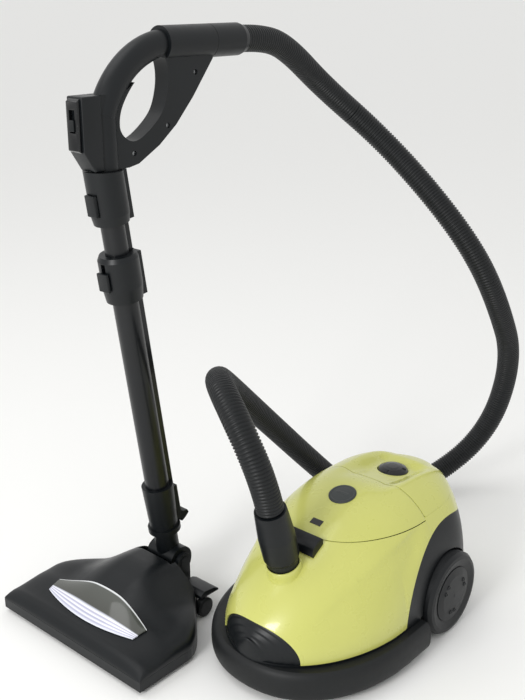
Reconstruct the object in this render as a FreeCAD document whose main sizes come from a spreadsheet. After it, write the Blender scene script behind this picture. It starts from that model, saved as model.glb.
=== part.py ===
"""Canister vacuum cleaner with hose, telescopic wand and powered floor nozzle. Millimetres, +Z up, front towards -Y.

The origin is on the floor, under the middle of everything but the hose. Sizes that drive the model are in the sheet
"dims". Each group has its own local frame:
  canister: x = 0 on the centre plane, y = 0 on the rear axle, z = 0 on the floor
  nozzle:   x = 0 on the nozzle's centre plane, y and z as for the canister
  wand:     origin on the neck's pivot, +Z along the wand, which leans forward
"""
import math
import os

import FreeCAD, Part
import Sketcher
from FreeCAD import Placement, Rotation, Vector

doc = FreeCAD.newDocument("canister_vacuum")
sheet = doc.addObject("Spreadsheet::Sheet", "dims")


# ---------------------------------------------------------------------------------------------------------------------
# driving dimensions
# ---------------------------------------------------------------------------------------------------------------------
class Size:
    """A dimension from the sheet, or a sum worked out from one: its value, and the text that binds it to the sheet."""

    def __init__(self, value, text):
        self.value = value
        self.text = text

    def __add__(self, other):
        return Size(self.value + value_of(other), f"({self.text} + {text_of(other)})")

    def __sub__(self, other):
        return Size(self.value - value_of(other), f"({self.text} - {text_of(other)})")

    def __mul__(self, other):
        return Size(self.value * value_of(other), f"({self.text} * {text_of(other)})")


def value_of(size):
    """The number behind a Size or a plain number."""
    return size.value if isinstance(size, Size) else float(size)


def text_of(size):
    """The expression behind a Size or a plain number."""
    return size.text if isinstance(size, Size) else f"({float(size):.6f})"


sheet_rows = []


def dimension(alias, value, meaning):
    """Writes one driving dimension into the sheet and returns it."""
    sheet_rows.append(alias)
    row = len(sheet_rows)
    sheet.set(f"A{row}", alias)
    sheet.set(f"B{row}", str(value))
    sheet.setAlias(f"B{row}", alias)
    sheet.set(f"C{row}", meaning)
    return Size(float(value), f"dims.{alias}")


canister_x = dimension("canister_x", 128.5, "canister's centre plane from the origin")
axle_y = dimension("axle_y", 144, "rear axle from the origin")
nozzle_x = dimension("nozzle_x", -122.5, "nozzle's centre plane from the origin")
wall = dimension("wall", 2.5, "moulded wall thickness")
body_half_width = dimension("body_half_width", 128.7, "canister shell's half width at its foot")
body_foot = dimension("body_foot", 56, "height of the canister shell's lower edge")
body_rise = dimension("body_rise", 168, "height of the canister shell above its lower edge")
bumper_half_width = dimension("bumper_half_width", 146, "outside of the bumper")
bumper_low = dimension("bumper_low", 9, "underside of the bumper")
bumper_top = dimension("bumper_top", 52, "top of the bumper")
wheel_radius = dimension("wheel_radius", 63, "rear wheel")
wheel_inner_face = dimension("wheel_inner_face", 112, "rear wheel's inner face from the centre plane")
axle_radius = dimension("axle_radius", 5, "rear stub axles")
running_gap = dimension("running_gap", 0.08, "radial clearance of a bore on its shaft")
caster_radius = dimension("caster_radius", 15, "caster wheel")
caster_y = dimension("caster_y", -232, "caster's swivel axis")
inlet_tilt = dimension("inlet_tilt", 16.5, "forward tilt of the hose inlet, degrees")
inlet_rim_y = dimension("inlet_rim_y", -224, "centre of the inlet's rim")
inlet_rim_z = dimension("inlet_rim_z", 166, "centre of the inlet's rim")
inlet_outer_radius = dimension("inlet_outer_radius", 25, "outside of the inlet collar")
inlet_bore_radius = dimension("inlet_bore_radius", 22.3, "bore of the inlet collar")
hose_radius = dimension("hose_radius", 19, "outside of the hose")
button_radius = dimension("button_radius", 23.3, "power button")
button_y = dimension("button_y", 36, "power button's centre")
lid_rear_y = dimension("lid_rear_y", -27, "parting line between lid and hood")
motor_radius = dimension("motor_radius", 46, "suction motor's housing")
reel_radius = dimension("reel_radius", 54, "cord reel's flanges")
nozzle_half_width = dimension("nozzle_half_width", 152, "floor nozzle")
nozzle_split = dimension("nozzle_split", 22, "height of the seam between the nozzle's halves")
brush_radius = dimension("brush_radius", 10, "brush roll's core")
brush_y = dimension("brush_y", -370, "brush roll's axis")
brush_z = dimension("brush_z", 16, "brush roll's axis")
brush_motor_y = dimension("brush_motor_y", -318, "nozzle motor's axis")
brush_motor_z = dimension("brush_motor_z", 28, "nozzle motor's axis")
brush_pulley = dimension("brush_pulley", 9, "pulley on the brush roll, radius")
motor_pulley = dimension("motor_pulley", 5, "pulley on the nozzle motor, radius")
nozzle_wheel_radius = dimension("nozzle_wheel_radius", 15, "nozzle's rear wheels")
pivot_y = dimension("pivot_y", -200, "neck's pivot")
pivot_z = dimension("pivot_z", 66, "neck's pivot")
wand_lean = dimension("wand_lean", 8.5, "forward lean of the parked wand, degrees")
tube_radius = dimension("tube_radius", 18, "lower wand's tube, outside")
channel_reach = dimension("channel_reach", 25, "back of the lower wand's cable channel from the tube's axis")
channel_half_width = dimension("channel_half_width", 9.2, "lower wand's cable channel")
collar_top = dimension("collar_top", 503, "top of the telescope's lock collar, along the wand")
socket_low = dimension("socket_low", 547, "bottom of the handle's socket, along the wand")
socket_top = dimension("socket_top", 632, "top of the handle's socket, along the wand")
pipe_radius = dimension("pipe_radius", 18, "handle's curved pipe, outside")
grip_half_width = dimension("grip_half_width", 13, "handle's flat arm, half thickness")
cuff_radius = dimension("cuff_radius", 22.5, "handle's hose cuff")
cuff_z = dimension("cuff_z", 829, "axis of the handle's hose cuff")
doc.recompute()


# ---------------------------------------------------------------------------------------------------------------------
# frames, sub-parts and small solids
# ---------------------------------------------------------------------------------------------------------------------
GROUND_GROUPS = {"canister": (canister_x, axle_y), "nozzle": (nozzle_x, axle_y)}
sub_parts = []


def place(piece, group, at=(0, 0, 0), turn=None):
    """Puts a finished sub-part in its group's frame; ground groups stay bound to the sheet."""
    turn = turn or Rotation()
    if group == "wand":
        lean = Rotation(Vector(1, 0, 0), wand_lean.value)
        pivot = Vector(nozzle_x.value, (axle_y + pivot_y).value, pivot_z.value)
        offset = lean.multVec(Vector(*[value_of(c) for c in at]))
        piece.Placement = Placement(pivot + offset, lean * turn)
        return
    group_x, group_y = GROUND_GROUPS[group]
    piece.Placement = Placement(Vector(0, 0, 0), turn)
    for axis, size in zip("xyz", (group_x + at[0], group_y + at[1], at[2])):
        piece.setExpression(f".Placement.Base.{axis}", text_of(size))


def sub_part(label, group, piece, at=(0, 0, 0), turn=None):
    """Names a finished object as a sub-part and places it."""
    piece.Label = label
    place(piece, group, at, turn)
    sub_parts.append(piece)
    return piece


def shaped(label, group, shape, at=(0, 0, 0), turn=None):
    """A sub-part whose shape is worked out here from the sheet."""
    piece = doc.addObject("Part::Feature", label)
    piece.Shape = shape
    return sub_part(label, group, piece, at, turn)


TURN_X = Rotation(Vector(0, 1, 0), 90)
TURN_Y = Rotation(Vector(1, 0, 0), -90)
TURNS = {"x": TURN_X, "y": TURN_Y, "z": Rotation()}


def rod(radius, length, at, axis="z"):
    """A Part::Cylinder bound to the sheet, starting at a point and running along an axis."""
    piece = doc.addObject("Part::Cylinder", "rod")
    piece.setExpression("Radius", text_of(radius))
    piece.setExpression("Height", text_of(length))
    piece.Placement = Placement(Vector(*[value_of(c) for c in at]), TURNS[axis])
    for name, size in zip("xyz", at):
        if isinstance(size, Size):
            piece.setExpression(f".Placement.Base.{name}", size.text)
    return piece


def block(low, high):
    """A Part::Box bound to the sheet, between two corners."""
    piece = doc.addObject("Part::Box", "block")
    for name, axis, start, end in zip(("Length", "Width", "Height"), "xyz", low, high):
        span = Size(value_of(end), text_of(end)) - start
        piece.setExpression(name, text_of(span))
        piece.setExpression(f".Placement.Base.{axis}", text_of(start))
    return piece


def joined(*pieces):
    """A Part::MultiFuse of the pieces."""
    result = doc.addObject("Part::MultiFuse", "joined")
    result.Shapes = list(pieces)
    return result


def cut(base, *tools):
    """A Part::Cut of the base by the tools."""
    result = doc.addObject("Part::Cut", "cut")
    result.Base = base
    result.Tool = tools[0] if len(tools) == 1 else joined(*tools)
    return result


def revolved(label, group, profile, at=(0, 0, 0), turn=None):
    """A PartDesign::Body turned about its own Z from a closed profile of (radius, height) corners, each held by two
    sketch constraints that are bound to the sheet."""
    body = doc.addObject("PartDesign::Body", label)
    sketch = body.newObject("Sketcher::SketchObject", f"{label}_profile")
    plane = [f for f in body.Origin.OriginFeatures if f.Role == "XZ_Plane"][0]
    sketch.AttachmentSupport = [(plane, "")]
    sketch.MapMode = "FlatFace"
    corners = [Vector(value_of(r), value_of(z), 0) for r, z in profile]
    for index, corner in enumerate(corners):
        sketch.addGeometry(Part.LineSegment(corner, corners[(index + 1) % len(corners)]), False)
    for index in range(len(corners)):
        sketch.addConstraint(Sketcher.Constraint("Coincident", index, 2, (index + 1) % len(corners), 1))
    for index, sizes in enumerate(profile):
        for kind, size in zip(("DistanceX", "DistanceY"), sizes):
            number = sketch.addConstraint(Sketcher.Constraint(kind, -1, 1, index, 1, value_of(size)))
            if isinstance(size, Size):
                sketch.setExpression(f"Constraints[{number}]", size.text)
    turned = body.newObject("PartDesign::Revolution", f"{label}_turned")
    turned.Profile = sketch
    turned.ReferenceAxis = (sketch, ["V_Axis"])
    turned.Angle = 360
    body.Tip = turned
    return sub_part(label, group, body, at, turn)


def box(low, high):
    """A plain box solid between two corners."""
    return Part.makeBox(*[h - l for l, h in zip(low, high)], Vector(*low))


def tube(radius, start, end):
    """A plain cylinder solid between two points."""
    start, end = Vector(*start), Vector(*end)
    return Part.makeCylinder(radius, (end - start).Length, start, end - start)


def smooth(share):
    """0 below 0, 1 above 1, and a smooth step between."""
    share = min(1.0, max(0.0, share))
    return share * share * (3 - 2 * share)


def section_wire(points):
    """A closed wire: a smooth curve through the points, then a straight edge back to its start."""
    curve = Part.BSplineCurve()
    curve.interpolate(Points=points, Parameters=[float(i) for i in range(len(points))])
    return Part.Wire([curve.toShape(), Part.makeLine(points[-1], points[0])])


def prism(points, vector):
    """A solid pushed out from a closed polygon."""
    return Part.Face(Part.makePolygon(list(points) + [points[0]])).extrude(vector)


# ---------------------------------------------------------------------------------------------------------------------
# canister's outer form
# ---------------------------------------------------------------------------------------------------------------------
NOSE_CENTRE, NOSE_LENGTH = -115.0, 184.0
TAIL_CENTRE, TAIL_LENGTH = 23.0, 102.0
PLAN_POWER = 1.9
CROWN_Y, CROWN_FRONT, CROWN_REAR = -20.0, 290.0, 150.0
FRONT_FALL, REAR_FALL = 0.655, 0.08
NOSE_POWER, SHOULDER_POWER = 1.9, 2.65
TROUGH_DEPTH, TROUGH_HALF_WIDTH, TROUGH_SLOPE = 15.0, 26.0, 28.0
BODY_STATIONS = (-297, -290, -275, -245, -205, -160, -115, -70, -25, 10, 40, 65, 85, 100, 112)
SECTION_STEPS = 26


def round_off(share, power):
    """Superellipse from 1 down to 0 as the share of the way out goes from 0 to 1."""
    return max(0.0, 1 - share**power) ** (1 / power)


def body_width(y):
    """Half width of the shell's foot: superellipses close the nose and the tail."""
    if y < NOSE_CENTRE:
        return body_half_width.value * round_off((NOSE_CENTRE - y) / NOSE_LENGTH, PLAN_POWER)
    return body_half_width.value * round_off(max(0.0, (y - TAIL_CENTRE) / TAIL_LENGTH), PLAN_POWER)


def body_height(y):
    """Height of the crown above the shell's foot: a cosine hill, gentle in front and full behind."""
    if y < CROWN_Y:
        return body_rise.value * math.cos(math.pi / 2 * (CROWN_Y - y) / CROWN_FRONT) ** FRONT_FALL
    return body_rise.value * math.cos(math.pi / 2 * (y - CROWN_Y) / CROWN_REAR) ** REAR_FALL


def section_power(y):
    """Fullness of the cross-section: pointed at the nose, square-shouldered at the hood."""
    return NOSE_POWER + (SHOULDER_POWER - NOSE_POWER) * smooth((y + 250) / 200)


def trough_depth(x, y):
    """Depth of the channel in the hood's top that holds the power button."""
    along = TROUGH_DEPTH * smooth((y + 70) / 90) * (1 - 0.6 * smooth((y - 55) / 25))
    return along * (1 - smooth((abs(x) - TROUGH_HALF_WIDTH) / TROUGH_SLOPE))


def body_section(y, inset, foot):
    """Cross-section at y: a superellipse with the channel sunk into its top."""
    width, height = body_width(y) - inset, body_height(y) - inset
    power = 2 / section_power(y)
    points = []
    for step in range(SECTION_STEPS + 1):
        angle = math.pi / 2 * (1 - math.cos(math.pi * step / SECTION_STEPS))
        across, up = math.cos(angle), abs(math.sin(angle))
        x = width * math.copysign(abs(across) ** power, across)
        z = foot + (body_foot.value - foot + height) * up**power - trough_depth(x, y) * min(1, 2 * up)
        points.append(Vector(x, y, z))
    return section_wire(points)


def body_form(inset):
    """Solid inside the shell's outer face, moved in by the inset; an inset form is open below and shorter."""
    foot = body_foot.value - (4 if inset else 0)
    front, rear = BODY_STATIONS[0], BODY_STATIONS[-1]
    centre = (front + rear) / 2
    shrink = 1 - 2 * inset / (rear - front)
    stations = [centre + (y - centre) * shrink for y in BODY_STATIONS]
    return Part.makeLoft([body_section(y, inset, foot) for y in stations], True, False)


def plan_wire(half_width, front, rear, z, power=PLAN_POWER):
    """Closed plan outline: a superellipse in front, straight sides, and a straight back."""
    length = NOSE_CENTRE - front
    points = []
    for step in range(25):
        angle = math.pi * (0.5 - math.cos(math.pi * step / 24) / 2)
        across = math.cos(angle)
        points.append(Vector(half_width * math.copysign(abs(across) ** (2 / power), across),
                             NOSE_CENTRE - length * abs(math.sin(angle)) ** (2 / power), z))
    curve = Part.BSplineCurve()
    curve.interpolate(Points=points, Parameters=[float(i) for i in range(len(points))])
    corners = [points[-1], Vector(-half_width, rear, z), Vector(half_width, rear, z), points[0]]
    return Part.Wire([curve.toShape()] + [Part.makeLine(a, b) for a, b in zip(corners, corners[1:])])


def plan_slab(half_width, front, rear, low, high):
    """Solid with the plan outline between two heights."""
    return Part.Face(plan_wire(half_width, front, rear, low)).extrude(Vector(0, 0, high - low))


LID_HALF_WIDTH, LID_LENGTH, LID_POWER = 101.0, 145.0, 2.1
LID_EDGE_Z, LID_DRAFT = 184.0, 0.45


def lid_zone(gap):
    """Solid over the lid, flared upwards so that the lid swings out: a rounded front and a straight back edge."""
    rear = lid_rear_y.value + gap
    outlines = []
    for z in (110.0, 260.0):
        grown = gap + LID_DRAFT * (z - LID_EDGE_Z)
        points = [Vector(-LID_HALF_WIDTH - grown, rear, z), Vector(LID_HALF_WIDTH + grown, rear, z)]
        for step in range(31):
            angle = math.pi * step / 30
            across, along = math.cos(angle), abs(math.sin(angle))
            x = (LID_HALF_WIDTH + grown) * math.copysign(abs(across) ** (2 / LID_POWER), across)
            points.append(Vector(x, lid_rear_y.value - 0.01 - (LID_LENGTH + grown) * along ** (2 / LID_POWER), z))
        outlines.append(Part.makePolygon(points + [points[0]]))
    return Part.makeLoft(outlines, True, True)


def inlet_point(along, across=0.0, side=0.0):
    """Point in the inlet's own frame: along its axis from the rim, across towards the front, and to the side."""
    tilt = math.radians(inlet_tilt.value)
    return Vector(side, inlet_rim_y.value - along * math.sin(tilt) - across * math.cos(tilt),
                  inlet_rim_z.value + along * math.cos(tilt) - across * math.sin(tilt))


INLET_TURN = Rotation(Vector(1, 0, 0), inlet_tilt.value)
foot_z = body_foot.value
outer_form = body_form(0)
inner_form = body_form(wall.value)
skin = outer_form.cut(inner_form)
SIDE_ZONE_Y, SIDE_ZONE_Z, SIDE_ZONE_RADIUS, SIDE_ZONE_X = 18.0, 46.0, 125.5, 92.0
HOOD_LINE_Z = 186.0
WELL_RADIUS = wheel_radius.value + 3


def side_zone(side):
    """Round zone of a side panel, seen from the side."""
    return tube(SIDE_ZONE_RADIUS, (side * SIDE_ZONE_X, SIDE_ZONE_Y, SIDE_ZONE_Z), (side * 170, SIDE_ZONE_Y, SIDE_ZONE_Z))


both_sides = side_zone(1).fuse(side_zone(-1))
back_zone = box((-66, 92, 50), (66, 125, 112))

# ---------------------------------------------------------------------------------------------------------------------
# canister: shells
# ---------------------------------------------------------------------------------------------------------------------
# front shell with the inlet collar and the arched mouth
front_zone = box((-150, -310, 50), (150, lid_rear_y.value, 260))
MOUTH_HALF_WIDTH, MOUTH_HEIGHT, MOUTH_Y = 68.0, 46.0, -330.0
mouth_arch = Part.Ellipse(Vector(MOUTH_HALF_WIDTH, MOUTH_Y, foot_z), Vector(0, MOUTH_Y, foot_z + MOUTH_HEIGHT),
                          Vector(0, MOUTH_Y, foot_z))
mouth_zone = Part.Face(Part.Wire(mouth_arch.toShape())).extrude(Vector(0, 85, 0))
collar = tube(inlet_outer_radius.value, inlet_point(-44), inlet_point(0)).cut(inner_form)
collar_bore = tube(inlet_bore_radius.value, inlet_point(-60), inlet_point(5))
front_shell = skin.common(front_zone).cut(lid_zone(0.6)).cut(both_sides).cut(mouth_zone)
front_shell = front_shell.fuse(collar).cut(collar_bore)
shaped("body_shell", "canister", front_shell)

# black grille behind the mouth, one wall further in
grille = body_form(wall.value + 0.4).cut(body_form(2 * wall.value + 0.4))
grille = grille.common(box((-73, -300, body_foot.value), (73, -250, 108)))
shaped("front_grille", "canister", grille)

# lid of the bag compartment, its badge, the window of the full-bag signal, and the hinge arms
lid = skin.common(lid_zone(0))
badge_y, badge_radius = -92.0, 20.0
window_low, window_high = (-14.0, -157.0), (14.0, -145.0)
FIT_GAP = 0.15
badge_zone = tube(badge_radius + FIT_GAP, (0, badge_y, 150), (0, badge_y, 260))
window_zone = box((window_low[0] - FIT_GAP, window_low[1] - FIT_GAP, 150),
                  (window_high[0] + FIT_GAP, window_high[1] + FIT_GAP, 260))
half_form = body_form(wall.value / 2)
half_skin = outer_form.cut(half_form)
lid = lid.cut(badge_zone.common(half_skin)).cut(window_zone.common(half_skin))
LID_AXIS_Z, ARM_X, ARM_INNER, ARM_OUTER = 226.0, 62.0, 22.0, 26.0
arm_wedge = ((0, 0), (-50, -12), (-50, -50), (50, -50))
for side in (-1, 1):
    low_x, high_x = side * ARM_X - 3, side * ARM_X + 3
    ring = tube(ARM_OUTER, (low_x, lid_rear_y.value, LID_AXIS_Z), (high_x, lid_rear_y.value, LID_AXIS_Z))
    ring = ring.cut(tube(ARM_INNER, (low_x - 1, lid_rear_y.value, LID_AXIS_Z), (high_x + 1, lid_rear_y.value, LID_AXIS_Z)))
    wedge = prism([Vector(low_x, lid_rear_y.value + y, LID_AXIS_Z + z) for y, z in arm_wedge], Vector(6, 0, 0))
    lid = lid.fuse(ring.common(wedge).common(half_form))
shaped("bag_lid", "canister", lid)
shaped("lid_badge", "canister", half_skin.common(tube(badge_radius, (0, badge_y, 150), (0, badge_y, 260))))
shaped("bag_full_window", "canister", half_skin.common(box((*window_low, 150), (*window_high, 260))))

# latch: a thumb lever hinged on the lid's front edge, lying in front of it
latch_profile = [Vector(-30, y, z) for y, z in
                 ((-174.5, 182), (-174.5, 190), (-178, 193.5), (-188, 191), (-196, 184), (-199, 174), (-194, 168))]
latch = prism(latch_profile, Vector(60, 0, 0)).cut(body_form(-0.8)).cut(tube(27, inlet_point(-50), inlet_point(2)))
shaped("lid_latch", "canister", latch)

# hood over the motor, with the round hole of the power button
hood = skin.common(box((-150, lid_rear_y.value + 0.6, HOOD_LINE_Z + 0.2), (150, 130, 260)))
hood = hood.cut(tube(button_radius.value + 0.5, (0, button_y.value, 150), (0, button_y.value, 260)))
shaped("rear_hood", "canister", hood)

# lower rear shell, between the hood and the side panels
rear_shell = skin.common(box((-150, lid_rear_y.value, 50), (150, 130, HOOD_LINE_Z)))
rear_shell = rear_shell.cut(both_sides).cut(back_zone)
shaped("rear_shell", "canister", rear_shell)

# side panels with the wheel wells
for side, name in ((1, "side_panel_right"), (-1, "side_panel_left")):
    well_x = 104.0
    centre = (0.0, wheel_radius.value)
    well = tube(WELL_RADIUS + wall.value, (side * well_x, *centre), (side * 150, *centre)).common(outer_form)
    panel = skin.common(side_zone(side)).cut(box((-150, -150, HOOD_LINE_Z), (150, 150, 300)))
    panel = panel.fuse(well).cut(tube(WELL_RADIUS, (side * (well_x + wall.value), *centre), (side * 160, *centre)))
    panel = panel.cut(tube(axle_radius.value + 0.1, (side * 90, *centre), (side * 160, *centre)))
    shaped(name, "canister", panel)

# back cover with exhaust slots and the hole of the cord gland
back = skin.common(back_zone)
gland_x, gland_z = 40.0, 92.0
slots = [box((-56, 90, z), (22, 125, z + 3.5)) for z in (66, 73, 80, 87, 94)]
back = back.cut(Part.makeCompound(slots)).cut(tube(8.2, (gland_x, 80, gland_z), (gland_x, 130, gland_z)))
shaped("back_cover", "canister", back)
revolved("cord_gland", "canister",
         [(4.5, -6), (8, -6), (8, 3.2), (11, 3.2), (10, 6), (4.5, 6)],
         at=(gland_x, 109, gland_z), turn=TURN_Y)

# ---------------------------------------------------------------------------------------------------------------------
# canister: chassis, bumper and wheels
# ---------------------------------------------------------------------------------------------------------------------
tray_low, tray_floor = 24.0, 27.0
tray_half_width, tray_front = body_half_width.value - 0.4, -298.0
REAR_TRAY_HALF_WIDTH = 103.0


def rear_tray_part(inset, low):
    """Upright solid of the tray between the rear wheels, drawn in under the tail."""
    places = [-75, 60, 80, 90, 98, 104, 108 - inset]
    right = [Vector(min(REAR_TRAY_HALF_WIDTH, body_width(y) - 3) - inset, y, low) for y in places]
    left = [Vector(-p.x, p.y, low) for p in reversed(right)]
    return prism(right + left, Vector(0, 0, foot_z + (5 if inset else 0) - low))


front_tray = plan_slab(tray_half_width, tray_front, -70, tray_low, foot_z)
front_hollow = plan_slab(tray_half_width - wall.value, tray_front + wall.value, -70 - wall.value, tray_floor, foot_z + 5)
well_wall = tube(33, (0, caster_y.value, tray_low), (0, caster_y.value, 44))
well_hollow = tube(30.5, (0, caster_y.value, 0), (0, caster_y.value, 41.5))
boss = tube(9, (0, caster_y.value, 41.5), (0, caster_y.value, 54))
brackets = [box((side * 99 - 4, -14, tray_floor), (side * 99 + 4, 14, 78)) for side in (-1, 1)]
tray = front_tray.fuse(rear_tray_part(0, tray_low)).cut(front_hollow.fuse(rear_tray_part(wall.value, tray_floor)))
tray = tray.fuse([well_wall, boss] + brackets).cut(well_hollow)
tray = tray.cut(tube(4 + running_gap.value, (0, caster_y.value, 30), (0, caster_y.value, 60)))
# bulkhead between the bag compartment and the motor
bulkhead = body_form(wall.value + 0.4).common(box((-150, -33, foot_z - 3), (150, -30, 196))).cut(both_sides)
bulkhead = bulkhead.fuse(box((-100, -33, tray_floor), (100, -30, foot_z + 4))).cut(box((-74, -40, 82), (-14, -20, 142)))
tray_and_bulkhead = doc.addObject("Part::Feature", "tray_and_bulkhead")
tray_and_bulkhead.Shape = tray.fuse(bulkhead)
reel_y, reel_z = 26.0, 104.0
sub_part("chassis_tray", "canister",
         joined(tray_and_bulkhead,
                rod(axle_radius, 38.5, (95.5, 0, wheel_radius), "x"), rod(axle_radius, 38.5, (-134, 0, wheel_radius), "x"),
                rod(6, 72, (6, reel_y, reel_z), "x"),
                block((6, reel_y - 12, tray_floor - 1), (10, reel_y + 12, reel_z + 10)),
                block((78, reel_y - 12, tray_floor - 1), (82, reel_y + 12, reel_z + 10))))

# rubber bumper: a rounded band round the front and the sides
low, top = bumper_low.value, bumper_top.value
bumper_front = NOSE_CENTRE - 191
BUMPER_POWER = 2.2
bands = [(low, 7), (low + 4, 2.5), (low + 12, 0), (top - 14, 0), (top - 5, 2.5), (top, 8)]
bumper = Part.makeLoft([plan_wire(bumper_half_width.value - inset, bumper_front + inset, -70, z, BUMPER_POWER)
                        for z, inset in bands], True, False)
bumper = bumper.cut(plan_slab(tray_half_width + 0.3, tray_front - 0.3, -60, low - 5, top + 5))
shaped("bumper_ring", "canister", bumper)

for side, name in ((1, "right"), (-1, "left")):
    outward = Rotation(Vector(0, 1, 0), 90 * side)
    bore = axle_radius + running_gap
    revolved(f"rear_wheel_{name}", "canister",
             [(bore, 0), (bore, 22.5), (42, 22.5), (42, 25), (54, 28), (59, 27), (wheel_radius, 22), (wheel_radius, 3),
              (60, 0), (52, 0), (50, 6), (16, 6), (14, 0)],
             at=(wheel_inner_face * side, 0, wheel_radius), turn=outward)
    cap = revolved(f"wheel_cap_{name}", "canister",
                   [(0, 22.6), (41.6, 22.6), (41.6, 26), (30, 28.6), (0, 29.5)],
                   at=(wheel_inner_face * side, 0, wheel_radius), turn=outward)

revolved("caster_wheel", "canister",
         [(2.5 + 0.06, -6.6), (2.5 + 0.06, 6.6), (12, 6.6), (caster_radius, 4), (caster_radius, -4), (12, -6.6)],
         at=(0, caster_y + 11, caster_radius), turn=TURN_X)
swivel_z = 37.0
fork = joined(rod(4, 15, (0, caster_y, swivel_z), "z"),
              rod(20, 4, (0, caster_y, swivel_z - 1.5), "z"),
              block((7.2, caster_y - 3, 11), (10, caster_y + 16, swivel_z)),
              block((-10, caster_y - 3, 11), (-7.2, caster_y + 16, swivel_z)),
              rod(2.5, 20, (-10, caster_y + 11, caster_radius), "x"))
sub_part("caster_fork", "canister", fork)

# ---------------------------------------------------------------------------------------------------------------------
# canister: inside
# ---------------------------------------------------------------------------------------------------------------------
sub_part("air_filters", "canister", joined(block((-80, -40, 76), (-8, -33.2, 148)), block((-58, 99, 62), (28, 106, 102))))

bag_place = FreeCAD.Matrix()
bag_place.scale(86, 60, 52)
bag_place.move(Vector(0, -104, 106))
bag = Part.makeSphere(1).transformGeometry(bag_place)
shaped("dust_bag", "canister", bag)
holder = tube(30, inlet_point(-52), inlet_point(-49)).common(body_form(wall.value + 1.2))
shaped("bag_holder", "canister", holder.cut(tube(18, inlet_point(-60), inlet_point(-40))).cut(bag))
revolved("inlet_seal", "canister", [(18, -34), (22.2, -34), (22.2, -31), (18, -31)],
         at=(0, inlet_rim_y, inlet_rim_z), turn=INLET_TURN)

motor_y, motor_z = 30.0, 104.0
housing = cut(joined(rod(motor_radius, 82, (-86, motor_y, motor_z), "x"),
                     block((-80, motor_y - 30, tray_floor), (-70, motor_y + 30, motor_z - 20)),
                     block((-20, motor_y - 30, tray_floor), (-10, motor_y + 30, motor_z - 20))),
              rod(motor_radius - 3, 76, (-83, motor_y, motor_z), "x"),
              rod(16, 10, (-90, motor_y, motor_z), "x"))
sub_part("motor_housing", "canister", housing)
revolved("motor_rotor", "canister",
         [(0, -72), (4, -72), (4, -64), (36, -64), (36, -50), (6, -50), (6, -44), (24, -44), (24, -12), (4, -12), (4, -8),
          (0, -8)],
         at=(0, motor_y, motor_z), turn=TURN_X)
revolved("cord_reel", "canister",
         [(6.1, 14), (reel_radius, 14), (reel_radius, 17), (48, 17), (48, 70), (reel_radius, 70), (reel_radius, 73),
          (6.1, 73)],
         at=(0, reel_y, reel_z), turn=TURN_X)

board_z = 164.0
sub_part("control_board", "canister",
         joined(block((-34, 10, board_z), (34, 62, board_z + 3)),
                block((-12, button_y - 12, board_z + 3), (12, button_y + 12, board_z + 15))))
button_base = 205.0
revolved("power_button", "canister",
         [(0, button_base - 10), (button_radius, button_base - 10), (button_radius, button_base + 1.5),
          (button_radius - 2.5, button_base + 4.5), (button_radius - 8, button_base + 7), (button_radius - 15, button_base + 8.3),
          (0, button_base + 8.6)],
         at=(0, button_y, 0))
revolved("button_spring", "canister",
         [(6, board_z + 15.2), (8, board_z + 15.2), (8, button_base - 10.2), (6, button_base - 10.2)],
         at=(0, button_y, 0))

# ---------------------------------------------------------------------------------------------------------------------
# hose and its canister cuff
# ---------------------------------------------------------------------------------------------------------------------
CUFF_LENGTH = 95.0
revolved("hose_cuff", "canister",
         [(17.6, -28), (21.7, -28), (21.7, 9), (inlet_outer_radius, 14), (inlet_outer_radius + 0.4, 50),
          (hose_radius + 3.8, 88), (hose_radius + 3, CUFF_LENGTH), (17.6, CUFF_LENGTH)],
         at=(0, inlet_rim_y, inlet_rim_z), turn=INLET_TURN)

# ---------------------------------------------------------------------------------------------------------------------
# floor nozzle
# ---------------------------------------------------------------------------------------------------------------------
NOZZLE_STATIONS = (-403, -396, -384, -360, -330, -300, -272, -246, -222, -200, -188)


def table(y, pairs):
    """Smooth value at y between (place, value) pairs."""
    for (y0, v0), (y1, v1) in zip(pairs, pairs[1:]):
        if y <= y1:
            return v0 + (v1 - v0) * smooth((y - y0) / (y1 - y0))
    return pairs[-1][1]


def nozzle_width(y):
    """Half width: straight at the front, drawn in towards the neck."""
    return nozzle_half_width.value - (nozzle_half_width.value - 60) * smooth((y + 312) / 128)


def nozzle_section(y, inset, foot):
    """Cross-section at y: a low flat deck with a round hump in the middle, highest at the neck."""
    width = nozzle_width(y) - inset
    deck = table(y, ((-403, 9), (-384, 15), (-330, 23), (-290, 27), (-188, 22))) - inset
    hump = table(y, ((-384, 0), (-255, 34), (-225, 34), (-188, 16)))
    points = []
    for step in range(SECTION_STEPS + 1):
        angle = math.pi / 2 * (1 - math.cos(math.pi * step / SECTION_STEPS))
        across, up = math.cos(angle), abs(math.sin(angle))
        x = width * math.copysign(abs(across) ** 0.5, across)
        rise = (nozzle_split.value - foot + deck) * up ** 0.5
        points.append(Vector(x, y, foot + rise + hump * (1 - smooth((abs(x) - 22) / 78)) * min(1, 2 * up)))
    return section_wire(points)


def nozzle_form(inset):
    """Solid inside the nozzle hood's outer face, moved in by the inset."""
    foot = nozzle_split.value - (3 if inset else 0)
    front, rear = NOZZLE_STATIONS[0] + inset, NOZZLE_STATIONS[-1] - inset
    span = (rear - front) / (NOZZLE_STATIONS[-1] - NOZZLE_STATIONS[0])
    stations = [front + (y - NOZZLE_STATIONS[0]) * span for y in NOZZLE_STATIONS]
    return Part.makeLoft([nozzle_section(y, inset, foot) for y in stations], True, False)


def nozzle_plan(inset, low, high):
    """Upright solid with the nozzle's plan outline."""
    places = [-403 + inset] + [-312 + 8 * k for k in range(15)] + [-188 - inset]
    right = [Vector(nozzle_width(y) - inset, y, low) for y in places]
    left = [Vector(-p.x, p.y, low) for p in reversed(right)]
    return prism(right + left, Vector(0, 0, high - low))


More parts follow.
